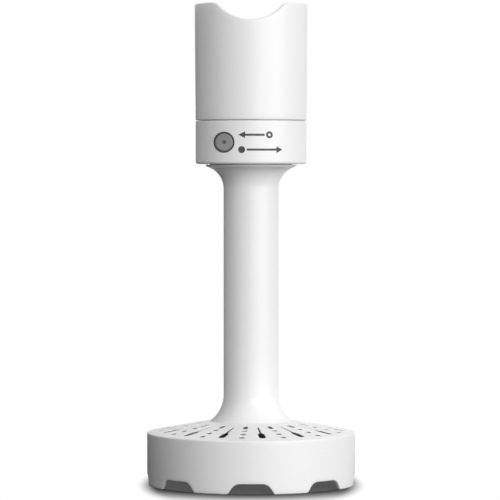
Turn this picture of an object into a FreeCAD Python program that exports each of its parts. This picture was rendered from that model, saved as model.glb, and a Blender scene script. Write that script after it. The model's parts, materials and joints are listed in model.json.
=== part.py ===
import FreeCAD, Part
import math
import os
import Sketcher
from FreeCAD import Placement, Rotation, Vector

# Puree masher attachment for a hand-held motor unit, standing on its foot.
# Origin on the axis at the bottom of the foot, +Z up, front towards -Y, millimetres, degrees.

NOTCH_COUNT = 8
SPOKE_COUNT = 14
HOLES_PER_SPOKE = 3
LUG_COUNT = 3
HUB_LUG_COUNT = 2
BLADE_COUNT = 3
PLANET_COUNT = 3
SCREW_COUNT = 3
KEY_COUNT = 3
SPLINE_COUNT = 6
SUN_TEETH = 12
PLANET_TEETH = 12
RING_TEETH = SUN_TEETH + 2 * PLANET_TEETH

# Driving dimensions.
DIMS = (
    # perforated foot
    ("foot_diameter", 100.0),
    ("rim_height", 25.0),
    ("rim_wall", 1.8),
    ("rim_edge_radius", 0.6),
    ("plate_angle", 10.4),
    ("plate_thickness", 1.4),
    ("notch_width", 22.0),
    ("notch_top_width", 15.5),
    ("notch_height", 4.8),
    ("notch_corner_radius", 5.0),
    ("spoke_angle", 7.1),
    ("slot_margin", 3.5),
    ("slot_wide_length", 6.8),
    ("slot_taper_length", 2.5),
    ("slot_width", 3.2),
    ("slot_neck_width", 1.0),
    ("slot_tip_width", 0.6),
    ("slot_tip_margin", 4.1),
    ("hole_diameter", 2.8),
    ("hole_margin", 4.5),
    ("hole_short_slot_gap", 3.2),
    ("short_slot_margin", 2.5),
    ("short_slot_length", 4.8),
    ("short_slot_width", 2.2),
    ("land_depth", 2.4),
    ("land_thickness", 2.2),
    ("step_wall", 1.5),
    ("pilot_height", 3.8),
    ("boss_wall", 3.0),
    ("boss_height", 14.6),
    # stem
    ("stem_height", 153.6),
    ("tube_diameter", 26.4),
    ("tube_wall", 2.4),
    ("flare_base_diameter", 40.0),
    ("lower_flare_radius", 15.0),
    ("upper_flare_radius", 11.0),
    ("flange_edge", 0.8),
    ("flange_width", 2.2),
    ("seat_gap", 0.1),
    ("neck_diameter", 39.6),
    ("neck_wall", 5.3),
    ("neck_height", 7.2),
    ("lug_rise", 3.0),
    ("lug_height", 2.4),
    ("lug_reach", 1.8),
    ("lug_angle", 26.0),
    ("plug_seat_depth", 2.5),
    ("plug_thickness", 3.6),
    ("plug_boss_height", 2.0),
    ("plug_boss_wall", 2.5),
    # shaft and its bearings
    ("shaft_diameter", 6.0),
    ("running_clearance", 0.05),
    ("bush_wall", 2.0),
    ("bush_flange", 1.5),
    ("bush_flange_thickness", 1.0),
    ("seal_diameter", 13.0),
    ("seal_depth", 4.0),
    ("seal_lip", 0.8),
    ("seal_lip_depth", 2.4),
    ("hex_flats", 5.0),
    ("hex_clearance", 0.08),
    ("lower_hex_length", 6.5),
    ("clip_thickness", 0.8),
    ("clip_depth", 0.5),
    ("clip_width", 2.6),
    ("clip_opening", 60.0),
    # drive hub and paddle
    ("hub_gap", 0.8),
    ("hub_diameter", 18.0),
    ("hub_height", 12.2),
    ("hub_web", 1.6),
    ("hub_recess_depth", 2.4),
    ("hub_screw_diameter", 3.0),
    ("hub_screw_head_diameter", 5.6),
    ("hub_screw_head_height", 1.8),
    ("hub_screw_length", 9.0),
    ("hub_lug_rise", 2.6),
    ("hub_lug_height", 2.4),
    ("hub_lug_reach", 1.5),
    ("hub_lug_angle", 40.0),
    ("paddle_twist", 40.0),
    ("cup_gap", 0.3),
    ("cup_wall", 3.5),
    ("cup_floor", 2.0),
    ("cup_top_gap", 0.9),
    ("blade_gap", 1.6),
    ("blade_end_gap", 2.2),
    ("blade_thickness", 2.8),
    ("blade_lean", 28.0),
    ("blade_foot_rise", 0.8),
    # turning collar: gearbox base
    ("joint_gap", 0.3),
    ("collar_twist", 30.0),
    ("lug_clearance", 0.3),
    ("lug_side_clearance", 2.0),
    ("band_height", 20.6),
    ("band_edge_radius", 1.2),
    ("seam_edge_radius", 0.25),
    ("neck_top_gap", 0.5),
    ("floor_thickness", 2.2),
    ("ring_gap", 0.1),
    ("base_ring_wall", 4.705),
    ("key_width", 3.0),
    ("key_depth", 1.0),
    ("badge_diameter", 9.8),
    ("badge_offset", 12.8),
    ("badge_thickness", 0.9),
    ("badge_proud", 0.1),
    # gear train
    ("pressure_angle", 25.0),
    ("addendum", 0.8),
    ("dedendum", 1.05),
    ("tooth_thinning", 0.1),
    ("gear_face", 5.6),
    ("axial_gap", 0.4),
    ("ring_wall", 2.05),
    ("pin_diameter", 3.0),
    ("carrier_rim", 1.7),
    ("output_plate", 2.2),
    ("socket_web", 1.2),
    ("first_plate", 2.0),
    ("journal_diameter", 13.0),
    # cover, input coupling and sleeve
    ("gasket_thickness", 0.5),
    ("cover_thickness", 2.4),
    ("cover_boss_height", 4.1),
    ("cover_boss_wall", 2.5),
    ("thrust_thickness", 0.9),
    ("thrust_reach", 1.0),
    ("spindle_diameter", 12.0),
    ("stub_diameter", 5.0),
    ("coupling_head_diameter", 16.0),
    ("coupling_head_height", 5.2),
    ("spline_diameter", 7.2),
    ("spline_reach", 1.1),
    ("spline_width", 1.8),
    ("spline_depth", 9.0),
    ("screw_diameter", 2.2),
    ("screw_head_diameter", 3.8),
    ("screw_head_height", 1.4),
    ("screw_bite", 6.0),
    ("recess_width", 0.7),
    ("recess_depth", 0.7),
    ("recess_length", 2.4),
    ("screw_turn", 60.0),
    ("sleeve_height", 56.0),
    ("sleeve_wall", 2.4),
    ("sleeve_draught", 0.45),
    ("seam_gap", 0.35),
    ("sleeve_gap", 0.2),
    ("sleeve_flange", 2.4),
    ("sleeve_flange_width", 5.5),
    ("nose_gap", 1.5),
    ("nose_bore_diameter", 48.4),
    ("ledge_width", 0.9),
    ("lead_in", 0.4),
    ("lead_in_depth", 4.0),
    ("rim_round", 0.7),
    ("scallop_depth", 8.25),
    ("scallop_radius", 21.2),
    ("lobe_corner_radius", 5.5),
)

# Sizes and heights that follow from the driving dimensions.
PLACES = (
    # perforated foot
    ("foot_radius", "dims.foot_diameter / 2"),
    ("rim_inner", "foot_radius - dims.rim_wall"),
    ("flare_base", "dims.flare_base_diameter / 2"),
    ("tube_radius", "dims.tube_diameter / 2"),
    ("tube_bore", "tube_radius - dims.tube_wall"),
    ("edge_start", "dims.rim_height - dims.rim_edge_radius"),
    ("cone_outer", "foot_radius - dims.rim_edge_radius * (1 - sin(dims.plate_angle))"),
    ("cone_outer_height", "edge_start + dims.rim_edge_radius * cos(dims.plate_angle)"),
    ("cone_top", "cone_outer_height + tan(dims.plate_angle) * (cone_outer - flare_base)"),
    ("plate_drop", "dims.plate_thickness / cos(dims.plate_angle)"),
    ("land_top", "cone_top - dims.land_depth"),
    ("land_bottom", "land_top - dims.land_thickness"),
    ("step_radius", "flare_base + dims.step_wall"),
    ("step_under", "cone_top - plate_drop - tan(dims.plate_angle) * dims.step_wall"),
    ("rim_under", "cone_top - plate_drop - tan(dims.plate_angle) * (rim_inner - flare_base)"),
    ("shaft_radius", "dims.shaft_diameter / 2"),
    ("bush_bore", "shaft_radius + dims.running_clearance"),
    ("bush_radius", "bush_bore + dims.bush_wall"),
    ("boss_radius", "bush_radius + dims.boss_wall"),
    ("pilot_radius", "tube_bore - dims.seat_gap"),
    ("pilot_top", "land_top + dims.pilot_height"),
    ("boss_top", "land_top + dims.boss_height"),
    ("seal_radius", "dims.seal_diameter / 2"),
    ("seal_seat", "land_bottom + dims.seal_depth"),
    ("seal_lip_radius", "bush_bore + dims.seal_lip"),
    ("seal_outer_lip", "seal_radius - dims.seal_lip"),
    ("seal_groove_radius", "(seal_lip_radius + seal_outer_lip) / 2"),
    ("seal_groove_top", "land_bottom + dims.seal_lip_depth"),
    ("notch_half", "dims.notch_width / 2"),
    ("notch_top_half", "dims.notch_top_width / 2"),
    ("notch_slope", "atan(dims.notch_height / (notch_half - notch_top_half))"),
    ("notch_tangent", "dims.notch_corner_radius * tan(notch_slope / 2)"),
    ("notch_side_x", "notch_top_half + notch_tangent * cos(notch_slope)"),
    ("notch_side_z", "dims.notch_height - notch_tangent * sin(notch_slope)"),
    ("notch_roof_x", "notch_top_half - notch_tangent"),
    ("slot_half", "dims.slot_width / 2"),
    ("slot_round", "rim_inner - dims.slot_margin - slot_half"),
    ("slot_end", "slot_round + slot_half"),
    ("slot_shoulder", "slot_end - dims.slot_wide_length"),
    ("slot_neck", "slot_shoulder - dims.slot_taper_length"),
    ("slot_neck_half", "dims.slot_neck_width / 2"),
    ("slot_tip", "step_radius + dims.slot_tip_margin"),
    ("slot_tip_half", "dims.slot_tip_width / 2"),
    ("hole_radius", "dims.hole_diameter / 2"),
    ("short_half", "dims.short_slot_width / 2"),
    ("short_start", "step_radius + dims.short_slot_margin + short_half"),
    ("short_end", "short_start + dims.short_slot_length - dims.short_slot_width"),
    ("short_inner_tip", "short_start - short_half"),
    ("short_outer_tip", "short_end + short_half"),
    ("hole_1", "rim_inner - dims.hole_margin"),
    ("hole_3", "short_outer_tip + dims.hole_short_slot_gap"),
    ("hole_2", "(hole_1 + hole_3) / 2"),
    ("slot_turn", "dims.spoke_angle - 90"),
    ("hole_turn", f"slot_turn + 180 / {SPOKE_COUNT}"),
    # stem
    ("base_disc", "flare_base - dims.seat_gap"),
    ("lower_flare_reach", "tube_radius + dims.lower_flare_radius - base_disc"),
    ("lower_flare_top", "cone_top + sqrt(dims.lower_flare_radius ^ 2 - lower_flare_reach ^ 2)"),
    ("neck_radius", "dims.neck_diameter / 2"),
    ("flange_radius", "neck_radius + dims.flange_width"),
    ("flange_under", "dims.stem_height - dims.flange_edge"),
    ("upper_flare_reach", "tube_radius + dims.upper_flare_radius - flange_radius"),
    ("upper_flare_start", "flange_under - sqrt(dims.upper_flare_radius ^ 2 - upper_flare_reach ^ 2)"),
    ("neck_bore", "neck_radius - dims.neck_wall"),
    ("neck_top", "dims.stem_height + dims.neck_height"),
    ("lug_bottom", "dims.stem_height + dims.lug_rise"),
    ("lug_top", "lug_bottom + dims.lug_height"),
    ("lug_root", "neck_radius - dims.lug_reach"),
    ("lug_radius", "neck_radius + dims.lug_reach"),
    ("lug_half", "dims.lug_angle / 2"),
    ("plug_seat", "dims.stem_height - dims.plug_seat_depth"),
    ("plug_top", "plug_seat + dims.plug_thickness"),
    ("plug_boss_top", "plug_top + dims.plug_boss_height"),
    ("plug_boss_radius", "bush_radius + dims.plug_boss_wall"),
    ("plug_radius", "neck_bore - dims.seat_gap"),
    ("bush_flange_radius", "bush_radius + dims.bush_flange"),
    ("upper_bush_top", "plug_boss_top + dims.bush_flange_thickness"),
    ("lower_bush_top", "boss_top + dims.bush_flange_thickness"),
    # shaft, drive hub and paddle
    ("floor_bottom", "neck_top + dims.neck_top_gap"),
    ("floor_top", "floor_bottom + dims.floor_thickness"),
    ("output_bottom", "floor_top + dims.axial_gap"),
    ("output_top", "output_bottom + dims.output_plate"),
    ("socket_roof", "output_top - dims.socket_web"),
    ("hub_top", "land_bottom - dims.hub_gap"),
    ("hub_bottom", "hub_top - dims.hub_height"),
    ("hub_radius", "dims.hub_diameter / 2"),
    ("hub_recess_top", "hub_bottom + dims.hub_recess_depth"),
    ("shaft_bottom", "hub_recess_top + dims.hub_web"),
    ("lower_hex_top", "shaft_bottom + dims.lower_hex_length"),
    ("upper_hex_bottom", "upper_bush_top + dims.axial_gap"),
    ("shaft_top", "socket_roof - dims.axial_gap"),
    ("upper_hex_length", "shaft_top - upper_hex_bottom"),
    ("hex_corner", "dims.hex_flats / sqrt(3)"),
    ("hex_corner_x", "hex_corner / 2"),
    ("hex_flat", "dims.hex_flats / 2"),
    ("hex_socket_corner", "hex_corner + dims.hex_clearance * 2 / sqrt(3)"),
    ("hex_socket_corner_x", "hex_socket_corner / 2"),
    ("hex_socket_flat", "hex_flat + dims.hex_clearance"),
    ("shaft_margin", "shaft_radius * 2"),
    ("tapped_radius", "dims.hub_screw_diameter / 2"),
    ("tapped_top", "hub_recess_top + dims.hub_screw_length"),
    ("clip_bottom", "lower_bush_top + dims.axial_gap"),
    ("clip_top", "clip_bottom + dims.clip_thickness"),
    ("clip_bore", "shaft_radius - dims.clip_depth"),
    ("clip_radius", "clip_bore + dims.clip_width"),
    ("clip_half", "dims.clip_opening / 2"),
    ("clip_reach", "clip_radius * 2"),
    ("hub_recess_radius", "dims.hub_screw_head_diameter / 2 + dims.cup_gap"),
    ("hub_screw_hole", "tapped_radius + dims.seat_gap"),
    ("hub_screw_head", "dims.hub_screw_head_diameter / 2"),
    ("hub_screw_bottom", "hub_recess_top - dims.hub_screw_head_height"),
    ("hub_lug_bottom", "hub_bottom + dims.hub_lug_rise"),
    ("hub_lug_top", "hub_lug_bottom + dims.hub_lug_height"),
    ("hub_lug_root", "hub_radius - dims.hub_lug_reach"),
    ("hub_lug_radius", "hub_radius + dims.hub_lug_reach"),
    ("hub_lug_half", "dims.hub_lug_angle / 2"),
    ("cup_inner", "hub_radius + dims.cup_gap"),
    ("cup_outer", "cup_inner + dims.cup_wall"),
    ("cup_floor_top", "hub_bottom - dims.cup_gap"),
    ("cup_bottom", "cup_floor_top - dims.cup_floor"),
    ("cup_top", "land_bottom - dims.cup_top_gap"),
    ("paddle_slot_root", "cup_inner - dims.hub_lug_reach"),
    ("paddle_slot_radius", "hub_lug_radius + dims.cup_gap"),
    ("paddle_slot_bottom", "hub_lug_bottom - dims.cup_gap"),
    ("paddle_slot_top", "hub_lug_top + dims.cup_gap"),
    ("paddle_entry_depth", "cup_top - paddle_slot_bottom"),
    ("paddle_track_depth", "paddle_slot_top - paddle_slot_bottom"),
    ("paddle_entry_from", "-dims.paddle_twist - hub_lug_half - dims.lug_side_clearance"),
    ("paddle_entry_to", "-dims.paddle_twist + hub_lug_half + dims.lug_side_clearance"),
    ("paddle_track_to", "hub_lug_half + dims.lug_side_clearance"),
    ("blade_root", "cup_inner + dims.cup_wall / 2"),
    ("blade_tip", "rim_inner - dims.blade_end_gap"),
    ("blade_bottom", "cup_bottom + dims.blade_foot_rise"),
    ("trim_step", "step_radius + dims.blade_gap"),
    ("trim_land", "land_bottom - dims.blade_gap"),
    ("trim_inner", "step_under - dims.blade_gap * (1 + tan(dims.plate_angle))"),
    ("trim_outer", "trim_inner - tan(dims.plate_angle) * (blade_tip - trim_step)"),
    ("blade_pivot", "(blade_bottom + trim_land) / 2"),
    ("blade_low", "(blade_bottom - blade_pivot) / cos(dims.blade_lean)"),
    ("blade_land", "(trim_land - blade_pivot) / cos(dims.blade_lean)"),
    ("blade_inner", "(trim_inner - blade_pivot) / cos(dims.blade_lean)"),
    ("blade_outer", "(trim_outer - blade_pivot) / cos(dims.blade_lean)"),
    # gearbox base
    ("nose_bore", "dims.nose_bore_diameter / 2"),
    ("band_radius", "nose_bore + dims.sleeve_wall"),
    ("base_ring", "nose_bore - dims.sleeve_gap"),
    ("band_bottom", "dims.stem_height + dims.joint_gap"),
    ("band_top", "band_bottom + dims.band_height"),
    ("band_edge_z", "band_bottom + dims.band_edge_radius"),
    ("band_edge_r", "band_radius - dims.band_edge_radius"),
    ("band_seam_z", "band_top - dims.seam_edge_radius"),
    ("seam_edge_r", "band_radius - dims.seam_edge_radius"),
    ("socket_radius", "neck_radius + dims.lug_clearance"),
    ("chamber_radius", "base_ring - dims.base_ring_wall"),
    ("ring_radius", "chamber_radius - dims.ring_gap"),
    ("ring_root", "ring_radius - dims.ring_wall"),
    ("gear_module", f"ring_root / ({RING_TEETH} / 2 + dims.dedendum)"),
    ("pitch_ring", f"gear_module * {RING_TEETH} / 2"),
    ("track_root", "socket_radius - dims.lug_reach"),
    ("track_radius", "lug_radius + dims.lug_clearance"),
    ("track_bottom", "lug_bottom - dims.lug_clearance"),
    ("track_top", "lug_top + dims.lug_clearance"),
    ("entry_depth", "track_top - band_bottom"),
    ("track_depth", "track_top - track_bottom"),
    ("entry_from", "-dims.collar_twist - lug_half - dims.lug_side_clearance"),
    ("entry_to", "-dims.collar_twist + lug_half + dims.lug_side_clearance"),
    ("track_to", "lug_half + dims.lug_side_clearance"),
    ("key_half", "dims.key_width / 2"),
    ("key_groove_half", "key_half + dims.ring_gap"),
    ("key_root", "ring_radius - dims.ring_wall / 2"),
    ("key_radius", "ring_radius + dims.key_depth"),
    ("key_groove_radius", "key_radius + dims.ring_gap"),
    ("badge_radius", "dims.badge_diameter / 2"),
    ("badge_height", "(band_bottom + band_top) / 2"),
    ("badge_floor", "band_radius - dims.badge_thickness"),
    ("badge_face", "band_radius + dims.badge_proud"),
    ("badge_clear", "badge_face + dims.badge_thickness"),
    ("badge_reach", "badge_clear + dims.badge_thickness"),
    ("badge_recess_radius", "badge_radius + dims.seat_gap"),
    ("key_groove_depth", "base_ring_top - floor_top"),
    # gear train
    ("pin_radius", "dims.pin_diameter / 2"),
    ("planet_bore", "pin_radius + dims.running_clearance"),
    ("pin_circle", f"gear_module * {SUN_TEETH + PLANET_TEETH} / 2"),
    ("carrier_radius", "pin_circle + pin_radius + dims.carrier_rim"),
    ("second_bottom", "output_top + dims.axial_gap"),
    ("second_top", "second_bottom + dims.gear_face"),
    ("second_pin_length", "dims.output_plate + dims.axial_gap + dims.gear_face"),
    ("first_plate_bottom", "second_top + dims.axial_gap"),
    ("first_plate_top", "first_plate_bottom + dims.first_plate"),
    ("first_bottom", "first_plate_top + dims.axial_gap"),
    ("first_top", "first_bottom + dims.gear_face"),
    ("first_pin_length", "dims.first_plate + dims.axial_gap + dims.gear_face"),
    ("journal_radius", "dims.journal_diameter / 2"),
    ("journal_bottom", "upper_hex_bottom + dims.axial_gap"),
    ("output_bush_bore", "journal_radius + dims.running_clearance"),
    ("output_bush_radius", "output_bush_bore + dims.bush_wall"),
    ("output_bush_flange", "output_bush_radius + dims.bush_flange"),
    ("output_bush_bottom", "floor_bottom - dims.bush_flange_thickness"),
    ("output_socket_depth", "socket_roof - journal_bottom"),
    ("lower_socket_depth", "hub_top - shaft_bottom"),
    ("hub_journal_depth", "hub_top - lower_hex_top"),
    # cover, coupling and sleeve
    ("thrust_bottom", "first_top + dims.axial_gap"),
    ("thrust_top", "thrust_bottom + dims.thrust_thickness"),
    ("cover_bottom", "thrust_top + dims.axial_gap / 2"),
    ("base_ring_top", "cover_bottom - dims.gasket_thickness"),
    ("cover_top", "cover_bottom + dims.cover_thickness"),
    ("cover_boss_top", "cover_top + dims.cover_boss_height"),
    ("spindle_radius", "dims.spindle_diameter / 2"),
    ("input_bush_bore", "spindle_radius + dims.running_clearance"),
    ("input_bush_radius", "input_bush_bore + dims.bush_wall"),
    ("cover_boss_radius", "input_bush_radius + dims.cover_boss_wall"),
    ("stub_radius", "dims.stub_diameter / 2"),
    ("coupling_head", "dims.coupling_head_diameter / 2"),
    ("coupling_shoulder", "cover_boss_top + dims.axial_gap"),
    ("coupling_top", "coupling_shoulder + dims.coupling_head_height"),
    ("thrust_radius", "spindle_radius + dims.thrust_reach"),
    ("spline_radius", "dims.spline_diameter / 2"),
    ("spline_outer", "spline_radius + dims.spline_reach"),
    ("spline_half", "dims.spline_width / 2"),
    ("sleeve_bottom", "band_top + dims.seam_gap"),
    ("sleeve_top", "band_top + dims.sleeve_height"),
    ("sleeve_seam_z", "sleeve_bottom + dims.seam_edge_radius"),
    ("sleeve_top_radius", "band_radius + dims.sleeve_draught"),
    ("flange_top", "cover_top + dims.sleeve_flange"),
    ("well_radius", "nose_bore - dims.ledge_width"),
    ("flange_inner", "well_radius - dims.sleeve_flange_width"),
    ("nose_ledge", "coupling_top + dims.nose_gap"),
    ("scallop_low", "sleeve_top - dims.scallop_depth"),
    ("scallop_centre", "scallop_low + dims.scallop_radius"),
    ("nose_bore_top", "scallop_low - dims.lead_in_depth"),
    ("lead_in_radius", "nose_bore + dims.lead_in"),
    ("lead_in_top", "nose_bore_top + dims.lead_in"),
    ("rim_round_z", "sleeve_top - dims.rim_round"),
    ("rim_outer_r", "sleeve_top_radius - dims.rim_round"),
    ("rim_inner_r", "lead_in_radius + dims.rim_round"),
    ("lobe_drop", "scallop_centre - sleeve_top + dims.lobe_corner_radius"),
    ("lobe_span", "dims.scallop_radius + dims.lobe_corner_radius"),
    ("lobe_x", "sqrt(lobe_span ^ 2 - lobe_drop ^ 2)"),
    ("lobe_meet_x", "lobe_x * dims.scallop_radius / lobe_span"),
    ("lobe_meet_z", "scallop_centre - lobe_drop * dims.scallop_radius / lobe_span"),
    ("scallop_clear", "sleeve_top + dims.scallop_depth"),
    ("screw_radius", "dims.screw_diameter / 2"),
    ("screw_hole", "screw_radius + dims.seat_gap"),
    ("screw_head", "dims.screw_head_diameter / 2"),
    ("screw_circle", "well_radius - screw_head - dims.sleeve_gap"),
    ("screw_head_top", "flange_top + dims.screw_head_height"),
    ("screw_tip", "base_ring_top - dims.screw_bite"),
    ("screw_hole_x", "screw_circle * sin(dims.screw_turn)"),
    ("screw_hole_y", "screw_circle * cos(dims.screw_turn)"),
    ("recess_half", "dims.recess_width / 2"),
    ("recess_reach", "dims.recess_length / 2"),
)

DIM_NAMES = {name for name, _ in DIMS}

doc = FreeCAD.newDocument("puree_masher")
dims = doc.addObject("Spreadsheet::Sheet", "dims")
places = doc.addObject("Spreadsheet::Sheet", "places")


def fill_sheets():
    """Write the driving numbers into one sheet and the formulas that follow into the other."""
    for row, (name, value) in enumerate(DIMS, start=1):
        dims.set(f"A{row}", name)
        dims.set(f"B{row}", str(value))
        dims.setAlias(f"B{row}", name)
    doc.recompute()
    for row, (name, formula) in enumerate(PLACES, start=1):
        places.set(f"A{row}", name)
        places.set(f"B{row}", "=" + formula)
        places.setAlias(f"B{row}", name)
    doc.recompute()


def ref(name):
    """Expression that reads a named size, with an optional minus sign in front."""
    if name == "0":
        return name
    sign = "-" if name.startswith("-") else ""
    bare = name.lstrip("-")
    sheet = "dims" if bare in DIM_NAMES else "places"
    return f"{sign}{sheet}.{bare}"


def size(name):
    """Number that a named size holds now."""
    if name == "0":
        return 0.0
    bare = name.lstrip("-")
    value = getattr(dims if bare in DIM_NAMES else places, bare)
    value = float(getattr(value, "Value", value))
    return -value if name.startswith("-") else value


def plane_of(body, role):
    """One of the body's own origin planes or axes, by its role."""
    return next(item for item in body.Origin.OriginFeatures if item.Role == role)


def sketch_on(body, role, name, lift=None, turn=None):
    """Sketch on one of the body's own planes, lifted along its normal and turned by named sizes."""
    sketch = body.newObject("Sketcher::SketchObject", name)
    sketch.AttachmentSupport = (plane_of(body, role), [""])
    sketch.MapMode = "FlatFace"
    if turn:
        sketch.AttachmentOffset = Placement(Vector(), Rotation(Vector(0, 0, 1), size(turn)))
        sketch.setExpression("AttachmentOffset.Rotation.Angle", ref(turn))
    if lift:
        sketch.setExpression("AttachmentOffset.Base.z", ref(lift))
    return sketch


def corner_terms(corner, polar):
    """Expressions and numbers of a corner's x and y, from (x, y) or polar (radius, angle) names."""
    first, second = corner[:2]
    if not polar:
        return (ref(first), size(first)), (ref(second), size(second))
    radius = size(first)
    angle = math.radians(size(second))
    along = (f"{ref(first)} * cos({ref(second)})", radius * math.cos(angle))
    across = (f"{ref(first)} * sin({ref(second)})", radius * math.sin(angle))
    return along, across


def pin_point(sketch, geometry, point, terms):
    """Tie a sketch point to the expressions of its two coordinates."""
    for kind, (expression, value) in zip(("DistanceX", "DistanceY"), terms):
        index = sketch.addConstraint(Sketcher.Constraint(kind, -1, 1, geometry, point, value))
        if expression != "0":
            sketch.setExpression(f"Constraints[{index}]", expression)


def arc_between(start, end, radius, turn):
    """Short arc of one radius from start to end: turn is 1 anticlockwise, -1 clockwise."""
    chord = end - start
    across = Vector(-chord.y, chord.x, 0).normalize() * turn
    height = math.sqrt(radius ** 2 - chord.Length ** 2 / 4)
    centre = (start + end) / 2 + across * height
    first, last = (start, end) if turn > 0 else (end, start)
    angles = [math.atan2(p.y - centre.y, p.x - centre.x) for p in (first, last)]
    return Part.ArcOfCircle(Part.Circle(centre, Vector(0, 0, 1), radius), *angles)


def outline(sketch, corners, polar=False):
    """Closed outline through named corners, each (x, y) or, where an arc ends, (x, y, radius, turn)."""
    terms = [corner_terms(corner, polar) for corner in corners]
    points = [Vector(x[1], y[1], 0) for x, y in terms]
    count = len(corners)
    first = sketch.GeometryCount
    ends = []
    for index in range(count):
        following = (index + 1) % count
        bend = corners[following][2:]
        if bend:
            sketch.addGeometry(arc_between(points[index], points[following], size(bend[0]), bend[1]))
        else:
            sketch.addGeometry(Part.LineSegment(points[index], points[following]))
        ends.append((2, 1) if bend and bend[1] < 0 else (1, 2))
    for index in range(count):
        following = (index + 1) % count
        here = first + index
        there = first + following
        joint = Sketcher.Constraint("Coincident", here, ends[index][1], there, ends[following][0])
        sketch.addConstraint(joint)
        pin_point(sketch, here, ends[index][0], terms[index])
        bend = corners[following][2:]
        if bend:
            limit = sketch.addConstraint(Sketcher.Constraint("Radius", here, size(bend[0])))
            sketch.setExpression(f"Constraints[{limit}]", ref(bend[0]))


def circle(sketch, radius, x="0", y="0"):
    """Circle of a named radius about a named point."""
    terms = corner_terms((x, y), False)
    centre = Vector(terms[0][1], terms[1][1], 0)
    geometry = sketch.addGeometry(Part.Circle(centre, Vector(0, 0, 1), size(radius)))
    limit = sketch.addConstraint(Sketcher.Constraint("Radius", geometry, size(radius)))
    sketch.setExpression(f"Constraints[{limit}]", ref(radius))
    pin_point(sketch, geometry, 3, terms)


def sector(sketch, inner, outer, start, end):
    """Piece of a ring between two named radii and two named angles."""
    outline(sketch, (
        (inner, start, inner, -1),
        (outer, start),
        (outer, end, outer, 1),
        (inner, end),
    ), polar=True)


def hexagon(sketch, corner, corner_x, flat):
    """Hexagon with two corners on the X axis."""
    outline(sketch, (
        (corner, "0"),
        (corner_x, flat),
        (f"-{corner_x}", flat),
        (f"-{corner}", "0"),
        (f"-{corner_x}", f"-{flat}"),
        (corner_x, f"-{flat}"),
    ))


def new_body(label):
    """Empty body under its label."""
    body = doc.addObject("PartDesign::Body", label)
    body.Label = label
    return body


def turned(label, corners):
    """Body turned about Z from an outline of (radius, height) corners."""
    body = new_body(label)
    sketch = sketch_on(body, "XZ_Plane", label + "_section")
    outline(sketch, corners)
    turn = body.newObject("PartDesign::Revolution", label + "_turned")
    turn.Profile = sketch
    turn.ReferenceAxis = (sketch, ["V_Axis"])
    turn.Angle = 360
    doc.recompute()
    return body


def must_change(body, before, grows, name):
    """A cut or an addition that leaves the volume as it was points the wrong way."""
    change = body.Shape.Volume - before
    if (change > 0) != grows or change == 0:
        raise RuntimeError(f"{name} changed the volume of {body.Label} by {change}")


def cut(body, sketch, length=None, both=False, reverse=False):
    """Pocket of a named depth, or right through."""
    before = body.Shape.Volume
    pocket = body.newObject("PartDesign::Pocket", sketch.Name + "_cut")
    pocket.Profile = sketch
    pocket.Reversed = reverse
    if both:
        pocket.SideType = "Symmetric"
    if length:
        pocket.setExpression("Length", ref(length))
    else:
        pocket.Type = "ThroughAll"
    doc.recompute()
    must_change(body, before, False, pocket.Name)
    return pocket


def raise_pad(body, sketch, length, both=False):
    """Pad of a named height, to one side or shared between both."""
    before = body.Shape.Volume
    pad = body.newObject("PartDesign::Pad", sketch.Name + "_pad")
    pad.Profile = sketch
    if both:
        pad.SideType = "Symmetric"
    pad.setExpression("Length", ref(length))
    doc.recompute()
    must_change(body, before, True, pad.Name)
    return pad


def repeat(body, features, count):
    """Even pattern of the features about Z."""
    pattern = body.newObject("PartDesign::PolarPattern", features[0].Name + "_pattern")
    pattern.Originals = features
    pattern.Axis = (plane_of(body, "Z_Axis"), [""])
    pattern.Angle = 360
    pattern.Occurrences = count
    body.Tip = pattern
    doc.recompute()


def solid(label, shape, placement=None):
    """Piece whose shape is worked out in code."""
    feature = doc.addObject("Part::Feature", label)
    feature.Label = label
    feature.Shape = shape
    if placement:
        feature.Placement = placement
    return feature


def about_z(angle, offset=Vector()):
    """Placement that turns about Z, then moves."""
    return Placement(offset, Rotation(Vector(0, 0, 1), angle))


def even_angles(count):
    """Angles of a whole turn shared evenly."""
    return [360.0 * index / count for index in range(count)]


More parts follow.
